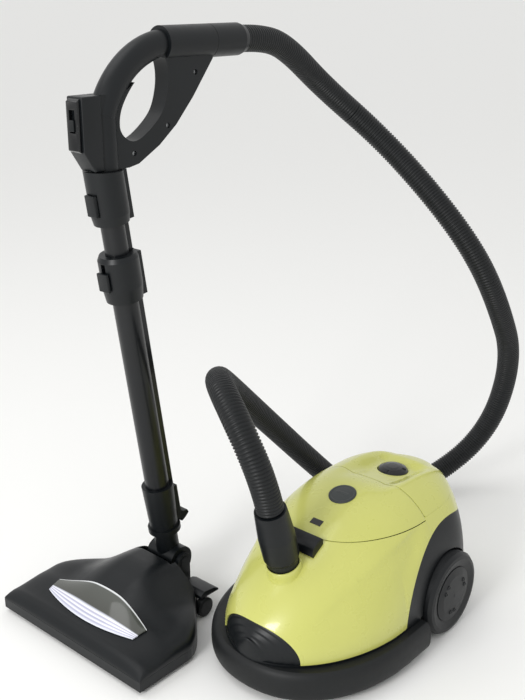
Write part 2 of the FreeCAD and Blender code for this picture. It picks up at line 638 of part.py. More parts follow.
def lens_zone(gap):
    """Eye-shaped upright solid of the lamp window."""
    half, rear, front = 98 - gap, -322 - gap, -376 + gap
    top = Part.Arc(Vector(-half, -338, 20), Vector(0, rear, 20), Vector(half, -338, 20))
    bottom = Part.Arc(Vector(half - 4, -362, 20), Vector(0, front, 20), Vector(-half + 4, -362, 20))
    edges = [top.toShape(), Part.makeLine(Vector(half, -338, 20), Vector(half - 4, -362, 20)), bottom.toShape(),
             Part.makeLine(Vector(-half + 4, -362, 20), Vector(-half, -338, 20))]
    return Part.Face(Part.Wire(edges)).extrude(Vector(0, 0, 60))


split_z = nozzle_split.value
NECK_SLOT = 36.0
hood_outer, hood_inner = nozzle_form(0), nozzle_form(wall.value)
nozzle_skin = hood_outer.cut(hood_inner)
neck_slot = box((-NECK_SLOT, -232, 10), (NECK_SLOT, -170, 120))
pedal_slot = box((37, -222, 24), (90, -170, 90))
NOZZLE_WHEEL_Y = -212.0
wheel_pockets = [tube(nozzle_wheel_radius.value + 1.5, (side * 73, NOZZLE_WHEEL_Y, nozzle_wheel_radius.value),
                      (side * 96, NOZZLE_WHEEL_Y, nozzle_wheel_radius.value)) for side in (-1, 1)]
nozzle_hood = nozzle_skin.cut([neck_slot, pedal_slot, lens_zone(0)] + wheel_pockets)
shaped("nozzle_hood", "nozzle", nozzle_hood)
shaped("lamp_lens", "nozzle", nozzle_skin.common(lens_zone(0.2)))
sub_part("lamp_bulb", "nozzle",
         joined(block((-82, -372, 33), (82, -336, 34.5)), rod(3, 60, (-30, -352, 37), "x")))

# lower half: tray with the brush chamber's opening, bearings and the neck's lugs
chamber_low, chamber_high = (-128, -389), (128, -351)
base = nozzle_plan(0, 6, split_z).cut(nozzle_plan(wall.value, 9, split_z + 5))
base = base.cut(box((*chamber_low, 0), (*chamber_high, 30)))
lugs = []
for side in (-1, 1):
    lug = box((side * 31 - 3, -218, 8), (side * 31 + 3, -188.5, pivot_z.value)).fuse(
        tube(14, (side * 31 - 3, pivot_y.value, pivot_z.value), (side * 31 + 3, pivot_y.value, pivot_z.value)))
    lugs.append(lug)
bearings = [box((side * 134 - 3, -377, 6), (side * 134 + 3, -363, 26)) for side in (-1, 1)]
base = base.fuse(lugs + bearings)
base = base.cut(tube(8 + running_gap.value, (-50, pivot_y.value, pivot_z.value), (50, pivot_y.value, pivot_z.value)))
base = base.cut(tube(3 + running_gap.value, (-140, brush_y.value, brush_z.value), (140, brush_y.value, brush_z.value)))
base = base.cut(wheel_pockets)
base = base.cut(tube(4 + running_gap.value, (-100, NOZZLE_WHEEL_Y, nozzle_wheel_radius.value),
                     (100, NOZZLE_WHEEL_Y, nozzle_wheel_radius.value)))
shaped("nozzle_base", "nozzle", base)
sole = nozzle_plan(6, 2, 6).cut(box((*chamber_low, 0), (*chamber_high, 30))).cut(box((-120, -235, 0), (120, -180, 10)))
shaped("sole_plate", "nozzle", sole)

# brush roll with four bristle strips, its belt, and the motor
brush = Part.makeCylinder(brush_radius.value, 232, Vector(-124, 0, 0), Vector(1, 0, 0))
brush = brush.fuse([Part.makeCylinder(3, 266, Vector(-133, 0, 0), Vector(1, 0, 0)),
                    Part.makeCylinder(brush_pulley.value, 14, Vector(108, 0, 0), Vector(1, 0, 0))])
for quarter in range(4):
    strip = box((-122, -0.9, brush_radius.value - 2), (106, 0.9, brush_radius.value + 4.4))
    strip.rotate(Vector(0, 0, 0), Vector(1, 0, 0), 90 * quarter + 45)
    brush = brush.fuse(strip)
shaped("brush_roll", "nozzle", brush, at=(0, brush_y, brush_z))

belt_axes = ((brush_y.value, brush_z.value, brush_pulley.value + 0.35),
             (brush_motor_y.value, brush_motor_z.value, motor_pulley.value + 0.35))


def belt_loop(extra, low, high):
    """Solid round both pulleys, its straight runs tangent to the two circles."""
    (y0, z0, r0), (y1, z1, r1) = [(y, z, r + extra) for y, z, r in belt_axes]
    distance = math.hypot(y1 - y0, z1 - z0)
    heading = math.atan2(z1 - z0, y1 - y0)
    spread = math.acos((r0 - r1) / distance)
    corners = []
    for y, z, r, sign in ((y0, z0, r0, 1), (y1, z1, r1, 1), (y1, z1, r1, -1), (y0, z0, r0, -1)):
        corners.append(Vector(low, y + r * math.cos(heading + sign * spread), z + r * math.sin(heading + sign * spread)))
    loop = prism(corners, Vector(high - low, 0, 0))
    return loop.fuse([tube(r0, (low, y0, z0), (high, y0, z0)), tube(r1, (low, y1, z1), (high, y1, z1))]).removeSplitter()


shaped("drive_belt", "nozzle", belt_loop(1.5, 112, 118).cut(belt_loop(0, 111, 119)))
sub_part("nozzle_motor", "nozzle",
         cut(rod(14, 84, (12, brush_motor_y, brush_motor_z), "x"), rod(2.1, 10, (90, brush_motor_y, brush_motor_z), "x")))
revolved("motor_pulley", "nozzle", [(0, 90.5), (2, 90.5), (2, 110), (motor_pulley, 110), (motor_pulley, 120), (0, 120)],
         at=(0, brush_motor_y, brush_motor_z), turn=TURN_X)
for side, name in ((1, "right"), (-1, "left")):
    revolved(f"nozzle_wheel_{name}", "nozzle",
             [(0, 68), (4, 68), (4, 79), (12, 79), (nozzle_wheel_radius, 81), (nozzle_wheel_radius, 90), (12, 92), (0, 92)],
             at=(0, NOZZLE_WHEEL_Y, nozzle_wheel_radius), turn=Rotation(Vector(0, 1, 0), 90 * side))
pedal_form = [Vector(40, y, z) for y, z in ((-220, 31), (-220, 36), (-212, 41), (-190, 38), (-181, 33), (-182, 30), (-212, 31))]
shaped("nozzle_pedal", "nozzle", prism(pedal_form, Vector(48, 0, 0)))

# ---------------------------------------------------------------------------------------------------------------------
# wand, along its own axis from the neck's pivot
# ---------------------------------------------------------------------------------------------------------------------
NECK_TOP, COLLAR_LOW, TUBE_TOP = 131.0, 437.0, 446.0
neck = tube(22, (-27, 0, 0), (27, 0, 0)).fuse([
    tube(8, (-35, 0, 0), (35, 0, 0)), tube(18, (0, 0, 0), (0, 0, 60)), tube(25, (0, 0, 50), (0, 0, 58)),
    Part.makeCone(21.5, 24, NECK_TOP - 58, Vector(0, 0, 58), Vector(0, 0, 1)),
    box((-12, 0, 58), (12, 27.5, NECK_TOP - 12))])


def wand_section(radius, half_width, reach, low, high):
    """Round tube with a flat-backed cable channel behind it."""
    channel = box((-half_width, 0, low), (half_width, reach, high))
    channel = channel.makeFillet(3, [e for e in channel.Edges if abs(e.BoundBox.YMin - reach) < 0.01
                                     and e.BoundBox.ZLength > 1])
    return tube(radius, (0, 0, low), (0, 0, high)).fuse(channel).removeSplitter()


radius, half, reach = tube_radius.value, channel_half_width.value, channel_reach.value
neck = neck.cut(tube(15, (0, 0, 10), (0, 0, 140)))
neck = neck.cut(wand_section(radius + 0.1, half + 0.1, reach + 0.1, 70, 140))
shaped("neck_elbow", "wand", neck)
lower = wand_section(radius, half, reach, 70.2, TUBE_TOP).cut(wand_section(radius - 1.4, half - 1.3, reach - 1.3, 60, TUBE_TOP + 10))
shaped("lower_wand", "wand", lower)
neck_pedal = prism([Vector(-11, y, z) for y, z in ((27.7, 50), (27.7, 61), (33, 66), (42, 64), (44, 58), (36, 53))], Vector(22, 0, 0))
shaped("neck_pedal", "wand", neck_pedal)

lock_collar = Part.makeCone(25.5, 28, 20, Vector(0, 0, COLLAR_LOW), Vector(0, 0, 1)).fuse([
    tube(28, (0, 0, COLLAR_LOW + 20), (0, 0, collar_top.value - 6)),
    Part.makeCone(28, 25, 6, Vector(0, 0, collar_top.value - 6), Vector(0, 0, 1)),
    box((-13, 0, COLLAR_LOW), (13, 30.5, collar_top.value - 4))])
lock_collar = lock_collar.cut(wand_section(radius + 0.1, half + 0.1, reach + 0.1, COLLAR_LOW - 5, TUBE_TOP + 0.1))
lock_collar = lock_collar.cut(wand_section(radius - 1.4, half - 1.3, reach - 1.3, TUBE_TOP, collar_top.value + 5))
lock_collar = lock_collar.cut(box((-4, -32, 456), (4, -20, 496)))
shaped("wand_lock_collar", "wand", lock_collar)
slider = box((-10, -33, 458), (10, -28.6, 484)).fuse(box((-3.6, -29, 460), (3.6, -21, 482)))
shaped("lock_slider", "wand", slider)

inner_radius, inner_half, inner_reach = radius - 1.8, half - 1.7, reach - 1.7
UPPER_LOW, UPPER_TOP = 150.0, 600.0
upper = wand_section(inner_radius, inner_half, inner_reach, UPPER_LOW, UPPER_TOP)
upper = upper.cut(wand_section(inner_radius - 1.4, inner_half - 1.2, inner_reach - 1.2, UPPER_LOW - 5, UPPER_TOP + 5))
shaped("upper_wand", "wand", upper)
socket = Part.makeCone(24, 26, 12, Vector(0, 0, socket_low.value), Vector(0, 0, 1)).fuse([
    tube(26, (0, 0, socket_low.value + 12), (0, 0, socket_top.value)),
    box((-13, 0, socket_low.value), (13, 28.5, socket_top.value))])
socket = socket.cut(wand_section(inner_radius + 0.1, inner_half + 0.1, inner_reach + 0.1, socket_low.value - 5, UPPER_TOP + 0.2))
socket = socket.cut(tube(14.5, (0, 0, 590), (0, 0, 640))).cut(box((-9.4, -32, 562), (9.4, -20.5, 592)))
HANDLE_LOW = 677.0
to_wand = Rotation(Vector(1, 0, 0), -wand_lean.value)
above_socket = box((-60, -80, 0), (60, 80, 80))
above_socket.Placement = Placement(to_wand.multVec(Vector(0, -90, HANDLE_LOW - 0.4 - pivot_z.value)), to_wand)
socket = socket.cut(above_socket)
shaped("handle_socket", "wand", socket)
button = box((-9, -30.5, 562.6), (9, -24.4, 591.4))
shaped("socket_button", "wand", button)

# ---------------------------------------------------------------------------------------------------------------------
# handle, in the nozzle's frame, because its cuff lies level
# ---------------------------------------------------------------------------------------------------------------------
HANDLE_END_Y = -95.0
arm_outline = ((-300, 772), (-300, HANDLE_LOW), (-257, HANDLE_LOW), (-240, 680), (-202, 700), (-170, 724), (-137, 758), (-97, 806.6),
               (-97, 829), (-184, 829), (-205, 805), (-262, 772))
opening_outline = ((-270, 731), (-266.4, 750.7), (-254.3, 770.1), (-238.4, 786.6), (-216, 801.1), (-189, 812), (-182, 791), (-185, 766), (-195, 743), (-209, 729),
                   (-228, 716), (-249, 710))
half_grip = grip_half_width.value
arm = prism([Vector(-half_grip, y, z) for y, z in arm_outline], Vector(2 * half_grip, 0, 0))
pipe_line = Part.Arc(Vector(0, -288, 744), Vector(0, -247, 802), Vector(0, -180, cuff_z.value)).toShape()
pipe_start = Part.Wire(Part.makeCircle(pipe_radius.value, Vector(0, -288, 744), pipe_line.tangentAt(pipe_line.FirstParameter)))
pipe = Part.Wire(pipe_line).makePipeShell([pipe_start], True, False)
bore_start = Part.Wire(Part.makeCircle(13.5, Vector(0, -288, 744), pipe_line.tangentAt(pipe_line.FirstParameter)))
pipe_bore = Part.Wire(pipe_line).makePipeShell([bore_start], True, False)
opening_curve = Part.BSplineCurve()
opening_curve.interpolate(Points=[Vector(-60, y, z) for y, z in opening_outline], PeriodicFlag=True)
opening = Part.Face(Part.Wire(opening_curve.toShape())).extrude(Vector(120, 0, 0))
housing_top = tube(cuff_radius.value, (0, -184, cuff_z.value), (0, HANDLE_END_Y, cuff_z.value))
stem = tube(17.5, (0, -287, HANDLE_LOW), (0, -287, 748))
grip = arm.fuse([pipe, housing_top, stem]).cut(opening).cut(box((-40, -340, 640), (40, -300, 773)))
grip = grip.cut(tube(15.5, (0, -182, cuff_z.value), (0, -90, cuff_z.value))).cut(pipe_bore)
grip = grip.cut(tube(13, (0, -287, 640), (0, -287, 748)))
SCREWS = ((-131, 790), (-185, 724), (-247, 694))
for y, z in SCREWS:
    grip = grip.cut(tube(1.75, (-9, y, z), (20, y, z))).cut(tube(3.6, (7, y, z), (20, y, z)))
shaped("handle_right_half", "nozzle", grip.common(box((0, -340, 600), (60, 0, 900))))
shaped("handle_left_half", "nozzle", grip.common(box((-60, -340, 600), (0, 0, 900))))
screws = [tube(3.3, (7.2, y, z), (10, y, z)).fuse(tube(1.6, (-8, y, z), (8, y, z))) for y, z in SCREWS]
shaped("handle_screws", "nozzle", Part.makeCompound(screws))

control = prism([Vector(-15, y, z) for y, z in ((-331, 772), (-331, 704), (-314, 677.5), (-300.3, 677.5), (-300.3, 772))],
                Vector(30, 0, 0))
shaped("control_block", "nozzle", control)
face = prism([Vector(-10.5, y, z) for y, z in ((-331.2, 770), (-336, 766), (-336, 706), (-331.2, 703))], Vector(21, 0, 0))
face = face.cut(box((-5.4, -340, 728), (5.4, -320, 756)))
shaped("control_face", "nozzle", face)
shaped("power_slider", "nozzle", box((-5, -338.5, 730), (5, -331.6, 744)))
revolved("handle_cuff", "nozzle",
         [(17.6, 0), (cuff_radius - 1, 0), (cuff_radius, 1), (cuff_radius, 58), (cuff_radius - 3, 68), (17.6, 68)],
         at=(0, HANDLE_END_Y + 0.5, cuff_z), turn=TURN_Y)

# ---------------------------------------------------------------------------------------------------------------------
# hose, in the canister's frame: straight runs joined by tangent arcs, in two lengths that meet below the handle
# ---------------------------------------------------------------------------------------------------------------------
HOSE_BORE = 16.0
ARC_SHARE = 0.45
HOSE_START, HOSE_FIRST_RUN = CUFF_LENGTH + 0.3, 48.0
HANDLE_IN_CANISTER = (nozzle_x - canister_x).value
HOSE_END_Y = HANDLE_END_Y + 68.8
start_points = [inlet_point(HOSE_START), inlet_point(HOSE_START + HOSE_FIRST_RUN)]
middle_points = [Vector(*p) for p in (
    (-34, -271, 371), (-105, -237, 407), (-178, -154, 365), (-206, -39, 265), (-189, 94, 126), (-172, 200, 21),
    (-123, 342, 21), (-50, 432, 114), (-17, 440, 268), (-3, 334, 405), (-33, 294, 496), (-112, 277, 585),
    (-201, 257, 667), (-257, 176, 748), (-256, 86, 810))]
end_points = [Vector(HANDLE_IN_CANISTER, y, cuff_z.value) for y in (25, HOSE_END_Y)]
hose_points = start_points + middle_points + end_points
MEETING_RUN = 14


def arc_at(before, corner, after):
    """Largest arc that its two runs allow: where it starts, its middle, where it ends, and its radius."""
    arriving, leaving = corner - before, after - corner
    half_turn = arriving.getAngle(leaving) / 2
    setback = ARC_SHARE * min(arriving.Length, leaving.Length)
    radius = setback / math.tan(half_turn)
    arriving.normalize()
    leaving.normalize()
    inward = (leaving - arriving).normalize()
    middle = corner + inward * (radius * (1 / math.cos(half_turn) - 1))
    return corner - arriving * setback, middle, corner + leaving * setback, radius


hose_arcs = [arc_at(*trio) for trio in zip(hose_points, hose_points[1:], hose_points[2:])]
meeting = (hose_points[MEETING_RUN] + hose_points[MEETING_RUN + 1]) * 0.5


def hose_length(label, start, arcs, end):
    """One length of the hose through its arcs; prints the bend radii and compares the volume with section x length."""
    heading = arcs[0][0] - start
    rims = [Part.Wire(Part.makeCircle(r, start, heading)) for r in (hose_radius.value, HOSE_BORE)]
    edges, here = [], start
    for arc_start, arc_middle, arc_end, _ in arcs:
        edges += [Part.makeLine(here, arc_start), Part.Arc(arc_start, arc_middle, arc_end).toShape()]
        here = arc_end
    path = Part.Wire(edges + [Part.makeLine(here, end)])
    outside, inside = [path.makePipeShell([rim], True, False) for rim in rims]
    length = outside.cut(inside)
    section = math.pi * (hose_radius.value**2 - HOSE_BORE**2)
    print(label, "bend radii", [round(arc[3]) for arc in arcs], "length", round(path.Length),
          "volume / (section x length)", round(length.Volume / (section * path.Length), 4))
    shaped(label, "canister", length)


hose_length("hose_lower", hose_points[0], hose_arcs[:MEETING_RUN], meeting)
hose_length("hose_upper", meeting, hose_arcs[MEETING_RUN:], hose_points[-1])

# ---------------------------------------------------------------------------------------------------------------------
# checks and files
# ---------------------------------------------------------------------------------------------------------------------
doc.recompute()
faults = [o.Label for o in doc.Objects if {"Invalid", "Error"} & set(o.State)]
faults += [p.Label for p in sub_parts if p.Shape.isNull() or not p.Shape.isValid() or not p.Shape.Solids]
if faults:
    raise SystemExit(f"failed objects: {faults}")
os.makedirs("parts", exist_ok=True)
for piece in sub_parts:
    piece.Shape.exportStep(f"parts/{piece.Label}.step")
whole = FreeCAD.BoundBox()
for piece in sub_parts:
    whole.add(piece.Shape.BoundBox)
print(len(sub_parts), "sub-parts", whole)
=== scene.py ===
import bmesh
import bpy
import numpy as np
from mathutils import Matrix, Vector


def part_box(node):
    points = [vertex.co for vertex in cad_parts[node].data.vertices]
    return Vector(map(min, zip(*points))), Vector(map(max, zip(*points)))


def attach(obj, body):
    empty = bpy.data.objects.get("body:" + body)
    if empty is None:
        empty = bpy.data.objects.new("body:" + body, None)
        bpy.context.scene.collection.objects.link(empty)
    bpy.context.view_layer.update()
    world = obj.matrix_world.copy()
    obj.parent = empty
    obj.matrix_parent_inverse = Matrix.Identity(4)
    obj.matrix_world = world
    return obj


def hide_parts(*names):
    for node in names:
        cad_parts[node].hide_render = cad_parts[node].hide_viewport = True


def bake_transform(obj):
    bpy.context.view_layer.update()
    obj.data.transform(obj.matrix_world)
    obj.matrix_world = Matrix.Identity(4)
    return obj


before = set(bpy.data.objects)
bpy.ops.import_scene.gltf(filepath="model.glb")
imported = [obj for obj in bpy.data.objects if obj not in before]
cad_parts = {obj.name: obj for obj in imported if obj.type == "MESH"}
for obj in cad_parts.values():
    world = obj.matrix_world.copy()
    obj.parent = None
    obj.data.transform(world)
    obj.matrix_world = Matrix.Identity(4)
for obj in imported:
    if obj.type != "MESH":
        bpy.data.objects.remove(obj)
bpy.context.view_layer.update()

# ----------------------------------------------------------------------------------------------------------
# Room: a pale painted board in an evenly bright white room with two soft lights, seen from just above the
# handle's height, in front and to the right of the cleaner. The board is matt, so that it takes only soft
# contact shadows.
# ----------------------------------------------------------------------------------------------------------
CAMERA_AT = (0.8798, -0.9841, 0.9001)
CAMERA_TILT, CAMERA_TURN = 69.97, 41.08
LENS_MM, FILM_MM = 51.43, 36.0
BOARD_HALF, BOARD_DROP = 150, 0.0005
ROOM_BRIGHTNESS = 0.86
LIT_POINT = (0.05, 0, 0.2)


def linear(hexcode):
    """sRGB hex value as linear colour and alpha: a division below 0.04045, and a power of 2.4 above it."""
    parts = np.array([int(hexcode[i:i + 2], 16) for i in (1, 3, 5)]) / 255
    low, high = parts / 12.92, ((parts + 0.055) / 1.055) ** 2.4
    return (*np.where(parts <= 0.04045, low, high).tolist(), 1.0)


def add(material, kind, sockets=(), **settings):
    """Adds one shader node with its settings; sockets holds (input, value or another node's output) pairs."""
    tree = material.node_tree
    made = tree.nodes.new("ShaderNode" + kind)
    for name, value in settings.items():
        setattr(made, name, value)
    for name, value in sockets:
        if isinstance(value, bpy.types.NodeSocket):
            tree.links.new(value, made.inputs[name])
        else:
            made.inputs[name].default_value = value
    return made


def surface(name, shader_sockets):
    """A material with one principled shader whose own sockets are set, and its object coordinates."""
    material = bpy.data.materials.new(name)
    material.use_nodes = True
    material.node_tree.nodes.clear()
    shader = add(material, "BsdfPrincipled", shader_sockets)
    add(material, "OutputMaterial", [("Surface", shader.outputs["BSDF"])])
    place = add(material, "TexCoord")
    return material, shader, place.outputs["Object"]


def connect(material, output, shader, name):
    """Links a node's output to a socket of the shader."""
    material.node_tree.links.new(output, shader.inputs[name])


def light(name, at, width, watts):
    """A square soft white light that faces the lit point."""
    lamp = bpy.data.lights.new(name, "AREA")
    lamp.size, lamp.energy = width, watts
    held = bpy.data.objects.new(name, lamp)
    bpy.context.scene.collection.objects.link(held)
    held.location = at
    held.rotation_euler = (Vector(LIT_POINT) - Vector(at)).to_track_quat("-Z", "Y").to_euler()


seen_from = bpy.data.cameras.new("standing_view")
seen_from.lens, seen_from.sensor_width = LENS_MM, FILM_MM
viewer = bpy.data.objects.new("standing_view", seen_from)
bpy.context.scene.collection.objects.link(viewer)
viewer.location = CAMERA_AT
viewer.rotation_euler = np.radians((CAMERA_TILT, 0, CAMERA_TURN)).tolist()
bpy.context.scene.camera = viewer
bpy.context.scene.view_settings.view_transform = "Standard"

# Emulsion on board: near-white and matt, so that it shows a soft shadow and no reflection.
board_paint = surface("Matt painted board", [
    ("Base Color", linear("#F3F3F1")), ("Roughness", 0.9), ("Specular IOR Level", 0.2)])[0]
board = bpy.data.meshes.new("floor_board")
board.from_pydata([(x * BOARD_HALF, y * BOARD_HALF, 0) for x, y in ((-1, -1), (1, -1), (1, 1), (-1, 1))],
                  [], [(0, 1, 2, 3)])
board.materials.append(board_paint)
floor = bpy.data.objects.new("floor_board", board)
bpy.context.scene.collection.objects.link(floor)
floor.location.z = -BOARD_DROP

sky = bpy.data.worlds.new("soft_room")
bpy.context.scene.world = sky
sky.use_nodes = True
sky.node_tree.nodes["Background"].inputs["Color"].default_value = linear("#FFFFFF")
sky.node_tree.nodes["Background"].inputs["Strength"].default_value = ROOM_BRIGHTNESS
light("key_light", at=(0.3, -2.2, 1.3), width=0.7, watts=26)
light("top_light", at=(-0.8, -0.6, 2.6), width=1.6, watts=10)

# ----------------------------------------------------------------------------------------------------------
# Hose: one ribbed tube, about 2.1 m, from the canister's cuff round behind it to the cuff of the handle. It
# is a convoluted EVA blow-moulding, bonded into both cuffs. It's drawn in two lengths that meet just below
# the handle.
# ----------------------------------------------------------------------------------------------------------
CANISTER_AT = np.array([0.1285, 0.144, 0.0])
INLET_TILT = np.radians(16.5)
INLET_RIM = np.array([0.0, -0.224, 0.166])
INLET_AXIS = np.array([0.0, -np.sin(INLET_TILT), np.cos(INLET_TILT)])
CUFF_TOP, STRAIGHT_RUN = 0.0953, 0.0480
HOSE_ROUTE = np.array([
    INLET_RIM + CUFF_TOP * INLET_AXIS, INLET_RIM + (CUFF_TOP + STRAIGHT_RUN) * INLET_AXIS,
    (-0.034, -0.271, 0.371), (-0.105, -0.237, 0.407), (-0.178, -0.154, 0.365), (-0.206, -0.039, 0.265),
    (-0.189, 0.094, 0.126), (-0.172, 0.200, 0.021), (-0.123, 0.342, 0.021), (-0.050, 0.432, 0.114),
    (-0.017, 0.440, 0.268), (-0.003, 0.334, 0.405), (-0.033, 0.294, 0.496), (-0.112, 0.277, 0.585),
    (-0.201, 0.257, 0.667), (-0.257, 0.176, 0.748), (-0.256, 0.086, 0.810),
    (-0.251, 0.025, 0.829), (-0.251, -0.0262, 0.829)]) + CANISTER_AT
MEETING = (HOSE_ROUTE[14] + HOSE_ROUTE[15]) / 2
HOSE_RADIUS, RIB_DEPTH, RIB_PITCH, GROOVE_SHARPNESS = 0.0190, 0.0019, 0.0047, 6
SPLINE_STEPS, ROWS_PER_RIB, HOSE_SIDES = 24, 6, 24
FINE_WELD = 1e-6


def spline_line(route):
    """Points of a quadratic NURBS curve over the route's control points, from its first point to its last."""
    curve = bpy.data.curves.new("route", "CURVE")
    curve.dimensions = "3D"
    spline = curve.splines.new("NURBS")
    spline.points.add(len(route) - 1)
    spline.points.foreach_set("co", np.column_stack([route, np.ones(len(route))]).ravel())
    spline.order_u, spline.use_endpoint_u = 3, True
    spline.resolution_u = SPLINE_STEPS
    holder = bpy.data.objects.new("route", curve)
    line = bpy.data.meshes.new_from_object(holder)
    points = np.empty(len(line.vertices) * 3)
    line.vertices.foreach_get("co", points)
    bpy.data.objects.remove(holder)
    bpy.data.meshes.remove(line)
    return points.reshape(-1, 3)


def along(points):
    """Distance along a line of points, from its start."""
    return np.concatenate([[0], np.cumsum(np.linalg.norm(np.diff(points, axis=0), axis=1))])


def carried_frame(line):
    """Normal and side direction at each point: the normal is carried along and kept square to the line."""
    ahead = np.gradient(line, axis=0)
    ahead /= np.linalg.norm(ahead, axis=1)[:, None]
    normals = np.empty_like(line)
    start = np.cross(ahead[0], (1.0, 0.0, 0.0))
    for row, direction in enumerate(ahead):
        start = start - direction * (start @ direction)
        start /= np.linalg.norm(start)
        normals[row] = start
    return normals, np.cross(ahead, normals)


def grid_mesh(name, corners, closed_across=False, weld=0.0):
    """Mesh of a rows x columns grid of points, as quads; closed_across joins the last column to the first."""
    rows, columns = corners.shape[:2]
    numbers = np.arange(rows * columns).reshape(rows, columns)
    if closed_across:
        numbers = np.column_stack([numbers, numbers[:, :1]])
    quads = np.stack([numbers[:-1, :-1], numbers[:-1, 1:], numbers[1:, 1:], numbers[1:, :-1]], axis=-1)
    mesh = bpy.data.meshes.new(name)
    mesh.from_pydata(corners.reshape(-1, 3).tolist(), [], quads.reshape(-1, 4).tolist())
    piece = bpy.data.objects.new(name, mesh)
    bpy.context.scene.collection.objects.link(piece)
    mesh.polygons.foreach_set("use_smooth", np.ones(len(mesh.polygons), bool))
    if weld:
        tidy_mesh(piece, weld)
    return piece


def tidy_mesh(piece, weld):
    """Merges points that coincide and turns every face outwards."""
    work = bmesh.new()
    work.from_mesh(piece.data)
    bmesh.ops.remove_doubles(work, verts=work.verts, dist=weld)
    bmesh.ops.dissolve_degenerate(work, dist=weld, edges=work.edges)
    bmesh.ops.recalc_face_normals(work, faces=work.faces)
    work.to_mesh(piece.data)
    work.free()


def ribbed_tube(name, line):
    """Tube carried along a line: once in every rib pitch, its radius falls by the depth of a round groove."""
    reach = along(line)
    ribs = round(reach[-1] / RIB_PITCH)
    phase = np.linspace(0, ribs, ribs * ROWS_PER_RIB + 1)
    centre = np.column_stack([np.interp(phase / ribs * reach[-1], reach, line[:, i]) for i in range(3)])
    normal, side = carried_frame(centre)
    radius = HOSE_RADIUS - RIB_DEPTH * np.cos(np.pi * phase) ** GROOVE_SHARPNESS
    turn = np.linspace(0, 2 * np.pi, HOSE_SIDES, endpoint=False)
    ring = np.cos(turn)[None, :, None] * normal[:, None] + np.sin(turn)[None, :, None] * side[:, None]
    wall = centre[:, None] + radius[:, None, None] * ring
    ends = [np.repeat(centre[[i]], HOSE_SIDES, axis=0)[None] for i in (0, -1)]
    return grid_mesh(name, np.concatenate([ends[0], wall, ends[1]]), closed_across=True, weld=FINE_WELD)


hose_line = spline_line(HOSE_ROUTE)
split = int(np.argmin(np.linalg.norm(hose_line - MEETING, axis=1)))
lower_line, upper_line = hose_line[:split + 1], hose_line[split:]

# EVA blow-moulded: near-black with a satin skin; rib crests catch the light, and dust dulls it in patches.
eva, eva_shader, eva_place = surface("EVA blow-moulded", [("IOR", 1.48), ("Specular IOR Level", 0.35)])
eva_dust = add(eva, "TexNoise", [("Vector", eva_place), ("Scale", 1 / 0.018), ("Detail", 6.0)])
eva_tone = add(eva, "ValToRGB", [("Fac", eva_dust.outputs["Fac"])])
eva_tone.color_ramp.elements[0].color = linear("#0B0D0E")
eva_tone.color_ramp.elements[1].color = linear("#15181A")
eva_gloss = add(eva, "MapRange", [("Value", eva_dust.outputs["Fac"]), ("To Min", 0.32), ("To Max", 0.50)])
eva_skin = add(eva, "TexNoise", [("Vector", eva_place), ("Scale", 1 / 0.0008), ("Detail", 2.0)])
eva_bump = add(eva, "Bump", [("Height", eva_skin.outputs["Fac"]), ("Strength", 0.08), ("Distance", 0.0002)])
connect(eva, eva_tone.outputs["Color"], eva_shader, "Base Color")
connect(eva, eva_gloss.outputs["Result"], eva_shader, "Roughness")
connect(eva, eva_bump.outputs["Normal"], eva_shader, "Normal")

hose_low = ribbed_tube("hose_from_canister", lower_line)
hose_high = ribbed_tube("hose_to_handle", upper_line)
for piece, node, line in ((hose_low, "hose_lower", lower_line), (hose_high, "hose_upper", upper_line)):
    piece.data.materials.append(eva)
    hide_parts(node)
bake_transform(hose_low)
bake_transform(hose_high)

# ----------------------------------------------------------------------------------------------------------
# Front shell: one pale lemon ABS injection moulding, polished in the tool. It runs round the bag lid from
# the arched mouth to the hood, and its collar holds the hose inlet. It drops onto the chassis tray inside
# the bumper.
# ----------------------------------------------------------------------------------------------------------
HALF_WIDTH, FOOT, RISE = 0.1287, 0.056, 0.168
NOSE_CENTRE, NOSE_LENGTH, TAIL_CENTRE, TAIL_LENGTH, PLAN_POWER = -0.115, 0.184, 0.023, 0.102, 1.9
CROWN, CROWN_FRONT, CROWN_REAR, FRONT_FALL, REAR_FALL = -0.020, 0.290, 0.150, 0.655, 0.08
NOSE_POWER, SHOULDER_POWER, SQUARING_START, SQUARING_RUN = 1.9, 2.65, -0.250, 0.200
TROUGH_DEPTH, TROUGH_HALF_WIDTH, TROUGH_SLOPE, TROUGH_START, TROUGH_RUN = 0.015, 0.026, 0.028, -0.070, 0.090
TROUGH_LOSS, TROUGH_LOSS_START, TROUGH_LOSS_RUN = 0.6, 0.055, 0.025
WALL, SHELL_WELD = 0.0025, 2e-5
MOUTH_HALF_WIDTH, MOUTH_HEIGHT = 0.068, 0.046
LID_HALF_WIDTH, LID_LENGTH, LID_POWER, LID_EDGE_Z, LID_DRAFT = 0.101, 0.145, 2.1, 0.184, 0.45
PARTING_Y, LID_GAP = -0.027, 0.0009
PANEL_Y, PANEL_Z, PANEL_RADIUS = 0.018, 0.046, 0.1255
TIP_BETWEEN, MOUTH_BETWEEN, LOWEST_LID_ANGLE = (-0.19, -0.15), (-0.2985, -0.200), 0.25
HALVINGS = 45


def ease(share):
    """0 below 0, 1 above 1, and a smooth cubic step between."""
    share = np.clip(share, 0, 1)
    return share * share * (3 - 2 * share)


